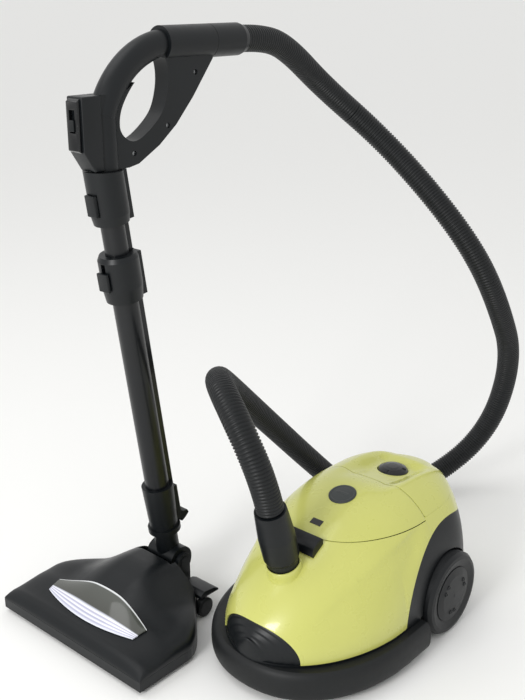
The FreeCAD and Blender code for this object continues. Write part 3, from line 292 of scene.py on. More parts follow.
def body_sizes(y):
    """Half width, height and power of the cross-section at y: superellipses close nose and tail, a power of a
    cosine falls from the crown each way, and the power grows from the nose to the square-shouldered hood."""
    nose = np.clip((NOSE_CENTRE - y) / NOSE_LENGTH, 0, 1)
    tail = np.clip((y - TAIL_CENTRE) / TAIL_LENGTH, 0, 1)
    width = HALF_WIDTH * np.minimum(1 - nose**PLAN_POWER, 1 - tail**PLAN_POWER) ** (1 / PLAN_POWER)
    front = np.cos(np.pi / 2 * np.clip((CROWN - y) / CROWN_FRONT, 0, 1)) ** FRONT_FALL
    rear = np.cos(np.pi / 2 * np.clip((y - CROWN) / CROWN_REAR, 0, 1)) ** REAR_FALL
    power = NOSE_POWER + (SHOULDER_POWER - NOSE_POWER) * ease((y - SQUARING_START) / SQUARING_RUN)
    return width, RISE * np.where(y < CROWN, front, rear), power


def trough(x, y):
    """Depth of the channel in the hood's top: it deepens backwards, loses depth behind the button and has
    sloping sides, each by an eased step."""
    deep = TROUGH_DEPTH * ease((y - TROUGH_START) / TROUGH_RUN)
    deep = deep * (1 - TROUGH_LOSS * ease((y - TROUGH_LOSS_START) / TROUGH_LOSS_RUN))
    return deep * (1 - ease((np.abs(x) - TROUGH_HALF_WIDTH) / TROUGH_SLOPE))


def body_skin(y, angle, lift=0.0):
    """Outer face of the body: a superellipse arch at y, from angle 0 at the right foot over the crown to pi,
    with the channel sunk into its top; lift moves it outwards, nearly along its own normal."""
    width, height, power = body_sizes(y)
    across, up = np.cos(angle), np.abs(np.sin(angle))
    x = (width + lift) * np.sign(across) * np.abs(across) ** (2 / power)
    z = FOOT + (height + lift) * up ** (2 / power) - trough(x, y) * np.minimum(1, 2 * up)
    return np.stack([x, np.broadcast_to(y, x.shape), z], axis=-1) + CANISTER_AT


def root_between(low, high, rises):
    """Halves the interval over and over, for whole arrays: rises(value) is above 0 past the wanted value."""
    for _ in range(HALVINGS):
        middle = (low + high) / 2
        past = rises(middle) > 0
        low, high = np.where(past, low, middle), np.where(past, middle, high)
    return (low + high) / 2


def angle_at_height(y, z):
    """Angle at which the arch at y reaches height z on its flank, outside the channel."""
    _, height, power = body_sizes(y)
    return np.arcsin(np.clip((z - FOOT) / height, 0, 1) ** (power / 2))


def lid_excess(y, angle, gap):
    """Above 0 outside the lid's outline: a superellipse in plan that grows with height above its edge."""
    point = body_skin(y, angle) - CANISTER_AT
    grown = gap + LID_DRAFT * (point[..., 2] - LID_EDGE_Z)
    return ((np.abs(point[..., 0]) / (LID_HALF_WIDTH + grown)) ** LID_POWER
            + (np.clip(PARTING_Y - y, 0, 1) / (LID_LENGTH + grown)) ** LID_POWER - 1)


def lid_stations(gap, count):
    """Stations from the lid's round tip back, close together at the tip, and the outline's angle at each."""
    middle = np.full(1, np.pi / 2)
    tip = root_between(*np.array(TIP_BETWEEN)[:, None], lambda y: -lid_excess(y, middle, gap))[0]
    y = tip + (PARTING_Y - tip) * np.linspace(0, 1, count) ** 2
    low, high = np.full(count, LOWEST_LID_ANGLE), np.full(count, np.pi / 2)
    angle = root_between(low, high, lambda a: -lid_excess(y, a, gap))
    return y, angle


def merged(name, pieces, weld):
    """Joins several grids into one mesh and merges the points that they share."""
    bpy.ops.object.select_all(action="DESELECT")
    for piece in pieces:
        piece.select_set(True)
    bpy.context.view_layer.objects.active = pieces[0]
    bpy.ops.object.join()
    pieces[0].name = pieces[0].data.name = name
    tidy_mesh(pieces[0], weld)
    return pieces[0]


def walled(piece, thickness, edge=0.0006):
    """Gives a one-sided skin its wall, inwards, and a small rounded edge."""
    shell = piece.modifiers.new("wall", "SOLIDIFY")
    shell.thickness, shell.offset, shell.use_even_offset = thickness, -1.0, True
    rounding = piece.modifiers.new("edge", "BEVEL")
    rounding.width, rounding.segments, rounding.limit_method = edge, 2, "ANGLE"
    rounding.angle_limit = np.radians(50)
    return piece


SIDE_STEPS, ARCH_STEPS, MOUTH_ROWS, STRIP_COLUMNS = 44, 88, 56, 90
arch = np.pi * (0.5 - np.cos(np.pi * np.linspace(0, 1, ARCH_STEPS + 1)) / 2)
mouth_x, mouth_z = MOUTH_HALF_WIDTH * np.cos(arch), FOOT + MOUTH_HEIGHT * np.abs(np.sin(arch))


def outside_nose(y):
    """Above 0 where the mouth's outline lies inside the nose at y: a superellipse test of x and height."""
    width, height, power = body_sizes(y)
    safe_width, safe_height = np.maximum(width, 1e-5), np.maximum(height, 1e-5)
    return 1 - (np.abs(mouth_x) / safe_width) ** power - ((mouth_z - FOOT) / safe_height) ** power


mouth_y = root_between(*(np.full(ARCH_STEPS + 1, y) for y in MOUTH_BETWEEN), outside_nose)
mouth_width, mouth_rise, mouth_power = body_sizes(mouth_y)
mouth_angle = np.arctan2(((mouth_z - FOOT) / mouth_rise) ** (mouth_power / 2),
                         np.sign(mouth_x) * (np.abs(mouth_x) / mouth_width) ** (mouth_power / 2))
strip_y, strip_top = lid_stations(LID_GAP, STRIP_COLUMNS)
strip_top[0] = np.pi / 2
nose_share = np.linspace(0, 1, MOUTH_ROWS)[:, None]
nose_y = mouth_y[None] * (1 - nose_share) + strip_y[0] * nose_share
nose_angle = mouth_angle[None] * (1 - nose_share) + arch[None] * nose_share
SHOULDER_Y = (-0.285, -0.195, -0.130, -0.099, -0.064, -0.027)
SHOULDER_Z = (0.085, 0.139, 0.166, 0.174, 0.181, 0.183)
SHOULDER_DROP, SHOULDER_SOFTNESS, SHOULDER_FADE = 0.0040, 0.09, 0.6
SHOULDER_FRONT, SHOULDER_FRONT_RUN, SHOULDER_BACK, SHOULDER_BACK_RUN = -0.266, 0.060, -0.034, 0.040


def shoulder_drop(y, angle, foot_angle):
    """Lift below the shoulder crease on each side: an exponential falls quickly under the crease, and eased
    steps fade it out at the foot, near the mouth and near the hood."""
    near = np.minimum(angle, np.pi - angle)
    crease = angle_at_height(y, np.interp(y, SHOULDER_Y, SHOULDER_Z))
    below = np.clip((crease - near) / (crease - foot_angle), 0, 1)
    reach = ease((SHOULDER_BACK - y) / SHOULDER_BACK_RUN) * ease((y - SHOULDER_FRONT) / SHOULDER_FRONT_RUN)
    fall = (1 - np.exp(-below / SHOULDER_SOFTNESS)) * ease((1 - below) / SHOULDER_FADE)
    return -SHOULDER_DROP * reach * fall


nose = grid_mesh("nose", body_skin(nose_y, nose_angle, shoulder_drop(nose_y, nose_angle, 0.0)))

panel_top = PANEL_Z + np.sqrt(np.clip(PANEL_RADIUS**2 - (strip_y - PANEL_Y) ** 2, 0, 1))
strip_floor = np.where(strip_y > PANEL_Y - PANEL_RADIUS, np.maximum(panel_top, FOOT), FOOT)
strip_foot = angle_at_height(strip_y, strip_floor)
strip_share = (arch[:SIDE_STEPS + 1] / (np.pi / 2))[:, None]
strip_angle = strip_foot[None] * (1 - strip_share) + strip_top[None] * strip_share
strip_places = np.broadcast_to(strip_y, strip_angle.shape)
flanks = []
for flank_angle in (strip_angle, np.pi - strip_angle):
    flank_lift = shoulder_drop(strip_places, flank_angle, strip_foot[None])
    flanks.append(grid_mesh("flank", body_skin(strip_places, flank_angle, flank_lift)))
front_shell = walled(merged("front_shell", [nose, *flanks], SHELL_WELD), WALL)


def turned_about(name, centre, axis, profile, sides):
    """Profile of (radius, distance along the axis) points, turned about an axis through the centre."""
    axis = np.asarray(axis, float) / np.linalg.norm(axis)
    first = np.cross(axis, (1.0, 0.0, 0.0) if abs(axis[0]) < 0.9 else (0.0, 1.0, 0.0))
    first /= np.linalg.norm(first)
    second = np.cross(axis, first)
    turn = np.linspace(0, 2 * np.pi, sides, endpoint=False)
    ring = np.cos(turn)[:, None] * first + np.sin(turn)[:, None] * second
    radius, reach = np.asarray(profile, float).T
    corners = radius[:, None, None] * ring[None] + reach[:, None, None] * axis + np.asarray(centre)
    return grid_mesh(name, corners, closed_across=True, weld=FINE_WELD)


COLLAR_OUTSIDE, COLLAR_BORE, COLLAR_ROOT, COLLAR_DEPTH, COLLAR_SIDES = 0.0250, 0.0223, 0.0300, 0.042, 96
FLARE_WIDTH, FLARE_HEIGHT, FLARE_FOOT = 0.016, 0.026, 0.034
collar_flare = [(COLLAR_OUTSIDE + FLARE_WIDTH * (1 - share) ** 3, FLARE_HEIGHT * share - FLARE_FOOT)
                for share in np.linspace(0, 1, 14)]
collar_rim = [(COLLAR_OUTSIDE, -0.0012), (COLLAR_OUTSIDE - 0.0004, -0.0003), (COLLAR_OUTSIDE - 0.0012, 0.0),
              (COLLAR_BORE + 0.0004, 0.0), (COLLAR_BORE, -0.0006), (COLLAR_BORE, -COLLAR_DEPTH)]
collar = turned_about("inlet_collar", INLET_RIM + CANISTER_AT, INLET_AXIS, [
    (COLLAR_BORE, -COLLAR_DEPTH), (COLLAR_ROOT, -COLLAR_DEPTH), *collar_flare, *collar_rim], COLLAR_SIDES)

# ABS moulded: pale lemon, glossy from a polished tool; a faint flow ripple and dust soften the highlights.
lemon, lemon_shader, lemon_place = surface("ABS moulded lemon", [
    ("IOR", 1.53), ("Specular IOR Level", 0.5), ("Coat Weight", 0.35), ("Coat Roughness", 0.06)])
lemon_mottle = add(lemon, "TexNoise", [("Vector", lemon_place), ("Scale", 1 / 0.09), ("Detail", 3.0)])
lemon_tone = add(lemon, "ValToRGB", [("Fac", lemon_mottle.outputs["Fac"])])
lemon_tone.color_ramp.elements[0].color = linear("#BDBF61")
lemon_tone.color_ramp.elements[1].color = linear("#C5C66C")
lemon_dust = add(lemon, "TexNoise", [("Vector", lemon_place), ("Scale", 1 / 0.030), ("Detail", 3.0)])
lemon_gloss = add(lemon, "MapRange", [
    ("Value", lemon_dust.outputs["Fac"]), ("To Min", 0.24), ("To Max", 0.32)])
lemon_ripple = add(lemon, "TexNoise", [("Vector", lemon_place), ("Scale", 1 / 0.014), ("Detail", 0.0)])
lemon_bump = add(lemon, "Bump", [
    ("Height", lemon_ripple.outputs["Fac"]), ("Strength", 0.04), ("Distance", 0.0002)])
connect(lemon, lemon_tone.outputs["Color"], lemon_shader, "Base Color")
connect(lemon, lemon_gloss.outputs["Result"], lemon_shader, "Roughness")
connect(lemon, lemon_bump.outputs["Normal"], lemon_shader, "Normal")


def fitted(piece, body, material, slot, *nodes):
    """Gives a new piece its material and its body, and hides the CAD nodes that it stands for; slot is not
    used.
    """
    piece.data.materials.clear()
    piece.data.materials.append(material)
    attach(piece, body)
    if nodes:
        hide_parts(*nodes)
    return piece


def dress(material, *nodes):
    """Gives CAD nodes a material."""
    for name in nodes:
        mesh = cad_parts[name].data
        mesh.materials.clear()
        mesh.materials.append(material)


fitted(front_shell, "body", lemon, "yellow_shell", "body_shell")
fitted(collar, "body", lemon, "yellow_shell", "body_shell")

# ----------------------------------------------------------------------------------------------------------
# Bag lid: a second lemon ABS moulding with a rounded front edge. It swings up at its straight back edge,
# against the hood, and carries the badge, the window of the full-bag signal and the latch.
# ----------------------------------------------------------------------------------------------------------
LID_ROWS, LID_COLUMNS, LID_TRIM, TIP_HALF_ANGLE = 70, 80, 0.0003, 0.03
lid_y, lid_edge = lid_stations(-LID_TRIM, LID_ROWS)
lid_edge[0] = np.pi / 2 - TIP_HALF_ANGLE
lid_share = np.linspace(-1, 1, LID_COLUMNS)[None]
lid_angle = np.pi / 2 + (lid_edge - np.pi / 2)[:, None] * -lid_share
lid_top = grid_mesh("bag_lid", body_skin(lid_y[:, None], lid_angle), weld=SHELL_WELD)
walled(lid_top, WALL)
fitted(lid_top, "lid", lemon, "yellow_shell", "bag_lid")

# ----------------------------------------------------------------------------------------------------------
# Hood: the lemon ABS cover over the motor, with the round hole of the power button in its sunken channel.
# It clips over the rear shell along the line at shoulder height.
# ----------------------------------------------------------------------------------------------------------
HOOD_LINE, HOOD_REAR, HOOD_GAP = 0.1862, 0.112, 0.0013
BUTTON_Y, BUTTON_HOLE = 0.036, 0.0238
HOOD_RINGS, HOOD_TURNS, HOOD_SPREAD, END_ROWS = 44, 192, 1.15, 8


def hood_sheet(name):
    """Ring-shaped patch between the button's hole and the hood's four edges, mixed in y and angle, and the
    flat end that drops from its back edge to the hood line."""
    turn = np.linspace(0, 2 * np.pi, HOOD_TURNS, endpoint=False) + np.pi / HOOD_TURNS
    hole_x, hole_y = BUTTON_HOLE * np.cos(turn), BUTTON_Y + BUTTON_HOLE * np.sin(turn)
    width, _, power = body_sizes(hole_y)
    hole_angle = np.arccos(np.sign(hole_x) * (np.abs(hole_x) / width) ** (power / 2))
    front, back = PARTING_Y + HOOD_GAP, HOOD_REAR
    reach = np.stack([np.cos(turn), np.sin(turn)], axis=-1)
    reach = reach / np.abs(reach).max(axis=1)[:, None]
    edge_y = np.where(reach[:, 1] > 0, BUTTON_Y + (back - BUTTON_Y) * reach[:, 1],
                      BUTTON_Y + (BUTTON_Y - front) * reach[:, 1])
    low_angle = angle_at_height(edge_y, np.full(HOOD_TURNS, HOOD_LINE))
    edge_angle = np.pi / 2 - (np.pi / 2 - low_angle) * reach[:, 0]
    share = (np.linspace(0, 1, HOOD_RINGS) ** HOOD_SPREAD)[:, None]
    y = hole_y[None] * (1 - share) + edge_y[None] * share
    angle = hole_angle[None] * (1 - share) + edge_angle[None] * share
    rim = body_skin(edge_y, edge_angle)[edge_y > back - 1e-6]
    drop = np.linspace(0, 1, END_ROWS)[:, None]
    end = np.repeat(rim[None], END_ROWS, axis=0)
    end[..., 2] = rim[None, :, 2] * (1 - drop) + HOOD_LINE * drop
    return merged(name, [grid_mesh("top", body_skin(y, angle), closed_across=True), grid_mesh("end", end)],
                  2 * FINE_WELD)


hood = walled(hood_sheet("rear_hood_cover"), WALL)
fitted(hood, "body", lemon, "yellow_shell", "rear_hood")
dress(lemon, "rear_shell")

# ----------------------------------------------------------------------------------------------------------
# Black parts: side panels, bumper, wheels, tubes, button, handle and nozzle base. Most are satin ABS or
# polypropylene from spark-eroded tools; the bumper is a softer rubber, and the tubes are extruded and
# smoother.
# ----------------------------------------------------------------------------------------------------------


def black_moulding(name, dark, pale, rough, grain_mm, depth, coat=0.0):
    """Black plastic: two close tones over 40 mm, a gloss that varies with dust, and a grain of some size."""
    material, shader, place = surface(name, [
        ("IOR", 1.5), ("Specular IOR Level", 0.32), ("Coat Weight", coat), ("Coat Roughness", 0.12)])
    cloud = add(material, "TexNoise", [("Vector", place), ("Scale", 1 / 0.040), ("Detail", 6.0)])
    tone = add(material, "ValToRGB", [("Fac", cloud.outputs["Fac"])])
    for stop, colour in zip(tone.color_ramp.elements, (dark, pale)):
        stop.color = linear(colour)
    dust = add(material, "TexNoise", [("Vector", place), ("Scale", 1 / 0.009), ("Detail", 8.0)])
    gloss = add(material, "MapRange", [
        ("Value", dust.outputs["Fac"]), ("To Min", rough - 0.07), ("To Max", rough + 0.07)])
    grain = add(material, "TexNoise", [("Vector", place), ("Scale", 1000 / grain_mm), ("Detail", 2.0)])
    bump = add(material, "Bump", [("Height", grain.outputs["Fac"]), ("Strength", 0.35), ("Distance", depth)])
    connect(material, tone.outputs["Color"], shader, "Base Color")
    connect(material, gloss.outputs["Result"], shader, "Roughness")
    connect(material, bump.outputs["Normal"], shader, "Normal")
    return material


# ABS spark-eroded: charcoal black, a fine even grain that spreads the highlight wide.
satin_black = black_moulding("ABS spark-eroded black", "#0A0D0F", "#0F1316", 0.38, 1.2, 0.00006)
# ABS polished: deeper black, with a sharp bright reflection on the button and the switch plate.
gloss_black = black_moulding("ABS polished black", "#08090B", "#0D0F11", 0.20, 5.0, 0.00004, coat=0.3)
# Thermoplastic rubber: greyer and duller than the panels, so that the band reads as soft.
bumper_rubber = black_moulding("TPE moulded bumper", "#101213", "#181A1B", 0.52, 1.5, 0.00010)
# Polypropylene: a waxy dark grey with a broad weak highlight.
wheel_plastic = black_moulding("Polypropylene moulded", "#101214", "#17191B", 0.46, 1.2, 0.00006)
# ABS extruded: smooth blue-black, with one long bright line down each tube.
tube_black = black_moulding("ABS extruded blue-black", "#07090C", "#0B0E12", 0.34, 6.0, 0.00003, coat=0.15)
# ABS grey: a lighter neutral tone that sets the badge off from the lemon lid.
badge_grey = black_moulding("ABS moulded grey", "#303434", "#3B3F3F", 0.35, 1.5, 0.00005)
# Reground ABS: flat dark grey, since nothing inside is polished.
inner_black = black_moulding("ABS recycled inner", "#1C1D1F", "#242527", 0.6, 1.6, 0.00008)
# Polycarbonate, smoked: almost black, wet-looking gloss.
smoked = black_moulding("Polycarbonate smoked", "#0B0A09", "#12110F", 0.14, 8.0, 0.00002, coat=0.5)
# Silicone rubber: matt black, with hardly a highlight.
seal_rubber = black_moulding("Silicone seal", "#111111", "#191919", 0.65, 1.5, 0.00006)
dress(satin_black, "side_panel_left", "side_panel_right", "back_cover", "cord_gland", "chassis_tray",
      "caster_fork", "hose_cuff", "handle_cuff", "handle_left_half", "handle_right_half", "handle_socket",
      "wand_lock_collar", "neck_elbow", "nozzle_base", "sole_plate")
dress(gloss_black, "power_button")
dress(bumper_rubber, "bumper_ring")
dress(wheel_plastic, "rear_wheel_left", "rear_wheel_right", "wheel_cap_left", "wheel_cap_right",
      "caster_wheel", "nozzle_wheel_left", "nozzle_wheel_right")
dress(tube_black, "lower_wand", "upper_wand")
dress(seal_rubber, "inlet_seal", "drive_belt")
dress(inner_black, "bag_holder", "motor_housing", "cord_reel", "motor_pulley", "nozzle_motor", "brush_roll")

# ----------------------------------------------------------------------------------------------------------
# Badge, signal window and grille. The badge is a domed disc of dark grey ABS glued into the lid, its face a
# plain raised bar inside a ring. The window is a smoked polycarbonate strip, and the grille a stepped black
# ABS bowl.
# ----------------------------------------------------------------------------------------------------------
BADGE_Y, BADGE_RADIUS, BADGE_RINGS, BADGE_SIDES = -0.092, 0.0199, 46, 96
BADGE_EDGE, BADGE_DOME, BADGE_RELIEF, BADGE_SINK = 0.0012, 0.0008, 0.0006, 0.0008
RING_INSIDE, RING_OUTSIDE, RING_SLOPE = 0.80, 0.95, 0.04
BAR_HALF_LENGTH, BAR_HALF_WIDTH, BAR_SLOPE = 0.0105, 0.0028, 0.001


def angle_above(x, y):
    """Angle of the arch at y above the place x: the superellipse solved for the angle."""
    width, _, power = body_sizes(y)
    return np.arccos(np.sign(x) * (np.abs(x) / width) ** (power / 2))


badge_turn = np.linspace(0, 2 * np.pi, BADGE_SIDES, endpoint=False)[None]
badge_reach = (BADGE_RADIUS * np.concatenate([[1.0], np.linspace(1, 0, BADGE_RINGS)]))[:, None]
badge_x, badge_y = badge_reach * np.cos(badge_turn), BADGE_Y + badge_reach * np.sin(badge_turn)
badge_share = badge_reach / BADGE_RADIUS
badge_ring = ease((badge_share - RING_INSIDE) / RING_SLOPE) * ease((RING_OUTSIDE - badge_share) / RING_SLOPE)
badge_bar = (ease((BAR_HALF_LENGTH - np.abs(badge_x)) / BAR_SLOPE)
             * ease((BAR_HALF_WIDTH - np.abs(badge_y - BADGE_Y)) / BAR_SLOPE))
badge_lift = BADGE_EDGE + BADGE_DOME * (1 - badge_share**2) + BADGE_RELIEF * (badge_ring + badge_bar)
badge_lift[0] = -BADGE_SINK
badge = grid_mesh("lid_badge_disc", body_skin(badge_y, angle_above(badge_x, badge_y), badge_lift),
                  closed_across=True, weld=FINE_WELD)
fitted(badge, "lid", badge_grey, "badge_grey", "lid_badge")

WINDOW_HALF, WINDOW_FRONT, WINDOW_BACK, WINDOW_LIFT, WINDOW_WALL = 0.0090, -0.1560, -0.1468, 0.0007, 0.0015
window_x, window_y = np.meshgrid(np.linspace(-WINDOW_HALF, WINDOW_HALF, 24),
                                 np.linspace(WINDOW_FRONT, WINDOW_BACK, 12))
window = grid_mesh("bag_full_strip", body_skin(window_y, angle_above(window_x, window_y), WINDOW_LIFT))
walled(window, WINDOW_WALL, edge=0.0003)
fitted(window, "lid", smoked, "smoked_window", "bag_full_window")

GRILLE_ROWS, GRILLE_INSET, NOSE_END = 60, 0.004, -0.2990
GRILLE_SINK, GRILLE_STEP, STEP_RUN, STEPS_AT, TIP_FADE = 0.0030, 0.0016, 0.04, (0.18, 0.40, 0.62), 0.3
bowl_share = np.linspace(0, 1, GRILLE_ROWS)[:, None]
bowl_y = (mouth_y + GRILLE_INSET)[None] * (1 - bowl_share) + NOSE_END * bowl_share
bowl_steps = sum(ease((bowl_share - start) / STEP_RUN) for start in STEPS_AT)
bowl_lift = -(GRILLE_SINK + GRILLE_STEP * bowl_steps) * ease((1 - bowl_share) / TIP_FADE)
bowl = grid_mesh("intake_grille", body_skin(bowl_y, np.broadcast_to(mouth_angle, bowl_y.shape), bowl_lift),
                 weld=10 * FINE_WELD)
fitted(bowl, "body", satin_black, "black_plastic", "front_grille")

# ----------------------------------------------------------------------------------------------------------
# Wheel trims: three pairs of blind eyelets moulded into each wheel's face, where the tool's ejector pins
# stand.
# ----------------------------------------------------------------------------------------------------------
AXLE_HEIGHT, EYE_CIRCLE, EYE_START, EYE_PITCH, EYE_SINK, EYE_SIDES = 0.063, 0.0270, 0.40, 0.40, 0.0012, 20
EYELET = ((0, 0.0008), (0.0020, 0.0008), (0.0024, 0.0016), (0.0031, 0.0016), (0.0034, 0.0010), (0.0034, 0))
for side, node, wheel in ((1, "wheel_cap_right", "wheel_right"), (-1, "wheel_cap_left", "wheel_left")):
    low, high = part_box(node)
    face = high.x if side > 0 else low.x
    eyes = []
    for turn in EYE_START + 2 * np.pi / 3 * np.arange(3):
        for offset in (-EYE_PITCH / 2, EYE_PITCH / 2):
            centre = (face - side * EYE_SINK, CANISTER_AT[1] + EYE_CIRCLE * np.cos(turn + offset),
                      AXLE_HEIGHT + EYE_CIRCLE * np.sin(turn + offset))
            eyes.append(turned_about("wheel_eye", centre, (side, 0, 0), EYELET, EYE_SIDES))
    fitted(merged(f"{wheel}_eyelets", eyes, FINE_WELD), wheel, satin_black, "wheel_plastic")

# ----------------------------------------------------------------------------------------------------------
# Latch, switch block and thumb keys: small ABS mouldings whose edges are rounded for the hand. Each is
# snapped into its housing on moulded pins.
# ----------------------------------------------------------------------------------------------------------


def rounded_copy(node, body, material, slot, radius):
    """The node's own shape with its flat faces made whole and its sharp edges rounded to the radius."""
    piece = bpy.data.objects.new(f"{node}_rounded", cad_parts[node].data.copy())
    bpy.context.scene.collection.objects.link(piece)
    work = bmesh.new()
    work.from_mesh(piece.data)
    bmesh.ops.remove_doubles(work, verts=work.verts, dist=SHELL_WELD)
    bmesh.ops.dissolve_limit(work, angle_limit=np.radians(1.0), verts=work.verts, edges=work.edges)
    bmesh.ops.recalc_face_normals(work, faces=work.faces)
    work.to_mesh(piece.data)
    work.free()
    piece.data.polygons.foreach_set("use_smooth", np.ones(len(piece.data.polygons), bool))
    rounding = piece.modifiers.new("rounded_edges", "BEVEL")
    rounding.width, rounding.segments, rounding.limit_method = radius, 3, "ANGLE"
    rounding.angle_limit, rounding.harden_normals = np.radians(30), True
    return fitted(piece, body, material, slot, node)


rounded_copy("control_block", "upper_wand", satin_black, "black_plastic", 0.0020)
rounded_copy("control_face", "upper_wand", gloss_black, "black_gloss", 0.0006)
for key, key_radius in (("power_slider", 0.0008), ("lid_latch", 0.0018), ("lock_slider", 0.0010),
                        ("socket_button", 0.0010), ("nozzle_pedal", 0.0012), ("neck_pedal", 0.0012)):
    rounded_copy(key, key, satin_black, "black_plastic", key_radius)

# ----------------------------------------------------------------------------------------------------------
# Nozzle hood: the upper half of the floor nozzle, satin black ABS, low and flat in front with a rolled
# edge, and humped over the neck. It is screwed to the base from below along the seam.
# ----------------------------------------------------------------------------------------------------------
NOZZLE_AT = np.array([-0.1225, 0.144, 0.0])
NOZZLE_HALF, NOZZLE_NECK_HALF, TAPER_START, TAPER_RUN, SEAM_Z = 0.152, 0.060, -0.312, 0.128, 0.0224
NOZZLE_FRONT, NOZZLE_REAR, SLOT_FRONT, PEDAL_FRONT, SLOT_HALF = -0.4028, -0.188, -0.232, -0.222, 0.0362
DECK = ((-0.403, -0.384, -0.330, -0.290, -0.188), (0.009, 0.015, 0.023, 0.027, 0.022))
HUMP = ((-0.384, -0.255, -0.225, -0.188), (0.0, 0.034, 0.034, 0.016))
ROLL, HUMP_FLAT, HUMP_SLOPE = 0.010, 0.022, 0.078
ROLL_ROWS, DECK_ROWS, CHEEK_ROWS, CHEEK_COLUMNS, MIDDLE_COLUMNS = 14, 72, 30, 24, 60


def stepped(y, pairs):
    """Smooth value at y between listed places: an eased step from each value to the next."""
    places, values = pairs
    total = np.full(np.shape(y), values[0])
    for start, end, first, second in zip(places, places[1:], values, values[1:]):
        total = total + (second - first) * ease((y - start) / (end - start))
    return total


def nozzle_width(y):
    """Half width of the nozzle at y: full in front, and an eased step down to the neck's."""
    return NOZZLE_HALF - (NOZZLE_HALF - NOZZLE_NECK_HALF) * ease((y - TAPER_START) / TAPER_RUN)


def nozzle_skin(y, angle, lift=0.0):
    """Outer face of the nozzle: at y an arch with square shoulders over the deck's height, plus the round
    hump, its front 10 mm rolled down to the seam along a quarter circle."""
    across, up = np.cos(angle), np.abs(np.sin(angle))
    x = nozzle_width(y) * np.sign(across) * np.abs(across) ** 0.5
    roll = np.sqrt(1 - np.clip(1 - (y - NOZZLE_FRONT) / ROLL, 0, 1) ** 2)
    hump = stepped(y, HUMP) * (1 - ease((np.abs(x) - HUMP_FLAT) / HUMP_SLOPE)) * np.minimum(1, 2 * up)
    z = SEAM_Z + stepped(y, DECK) * up**0.5 * roll + hump * roll + lift
    return np.stack([x, np.broadcast_to(y, x.shape), z], axis=-1) + NOZZLE_AT


def nozzle_angle(x, y):
    """Angle of the nozzle's arch above the place x at y."""
    return np.arccos(np.sign(x) * (np.abs(x) / nozzle_width(y)) ** 2)


roll_y = NOZZLE_FRONT + ROLL * (1 - np.cos(np.pi / 2 * np.linspace(0, 1, ROLL_ROWS)))
deck_y = np.concatenate([roll_y, np.linspace(roll_y[-1], SLOT_FRONT, DECK_ROWS)[1:]])
cheek_spread = 1 - np.cos(np.pi / 2 * np.linspace(0, 1, CHEEK_COLUMNS))
half_arch = nozzle_angle(SLOT_HALF, np.array(SLOT_FRONT)) * cheek_spread
middle_arch = np.linspace(half_arch[-1], np.pi - half_arch[-1], MIDDLE_COLUMNS)
full_arch = np.concatenate([half_arch, middle_arch[1:-1], np.pi - half_arch[::-1]])
hood_sheets = [grid_mesh("deck", nozzle_skin(deck_y[:, None], full_arch[None]))]
for rear, mirrored in ((PEDAL_FRONT, False), (NOZZLE_REAR, True)):
    cheek_y = np.linspace(SLOT_FRONT, rear, CHEEK_ROWS)[:, None]
    cheek_angle = half_arch[None] / half_arch[-1] * nozzle_angle(np.full((CHEEK_ROWS, 1), SLOT_HALF), cheek_y)
    if mirrored:
        cheek_angle = np.pi - cheek_angle
    hood_sheets.append(grid_mesh("cheek", nozzle_skin(cheek_y, cheek_angle)))
nozzle_cover = walled(merged("nozzle_cover", hood_sheets, SHELL_WELD), WALL)
fitted(nozzle_cover, "body", satin_black, "black_plastic", "nozzle_hood")

# ----------------------------------------------------------------------------------------------------------
# Lamp window: an eye-shaped clear polycarbonate lens snapped into the nozzle hood over the bulb. Its front
# third is moulded with lengthwise prisms that throw the light forwards, and its edge is polished.
# ----------------------------------------------------------------------------------------------------------
LENS_HALF, LENS_TAPER, LENS_ROWS, LENS_COLUMNS = 0.0975, 0.004, 40, 120
LENS_REAR, LENS_REAR_BULGE, LENS_FRONT, LENS_FRONT_BULGE = -0.3383, 0.016, -0.3617, 0.014
LENS_EDGE, LENS_CROWN, LENS_WALL = 0.0006, 0.0016, 0.0022
lens_s, lens_t = np.meshgrid(np.linspace(-1, 1, LENS_COLUMNS), np.linspace(0, 1, LENS_ROWS))
lens_x = lens_s * (LENS_HALF - LENS_TAPER * lens_t)
lens_rear = LENS_REAR + LENS_REAR_BULGE * (1 - lens_s**2)
lens_front = LENS_FRONT - LENS_FRONT_BULGE * (1 - lens_s**2)
lens_y = lens_rear * (1 - lens_t) + lens_front * lens_t
lens_rise = LENS_EDGE + LENS_CROWN * np.sin(np.pi * lens_t) ** 0.6 * (1 - lens_s**6)
lens = grid_mesh("lamp_window", nozzle_skin(lens_y, nozzle_angle(lens_x, lens_y), lens_rise))
lens_uv = lens.data.uv_layers.new(name="UVMap")
lens_corner = np.empty(len(lens.data.loops), int)
lens.data.loops.foreach_get("vertex_index", lens_corner)
lens_uv.data.foreach_set("uv", np.column_stack([lens_s.ravel(), lens_t.ravel()])[lens_corner].ravel())
walled(lens, LENS_WALL, edge=0.0005)
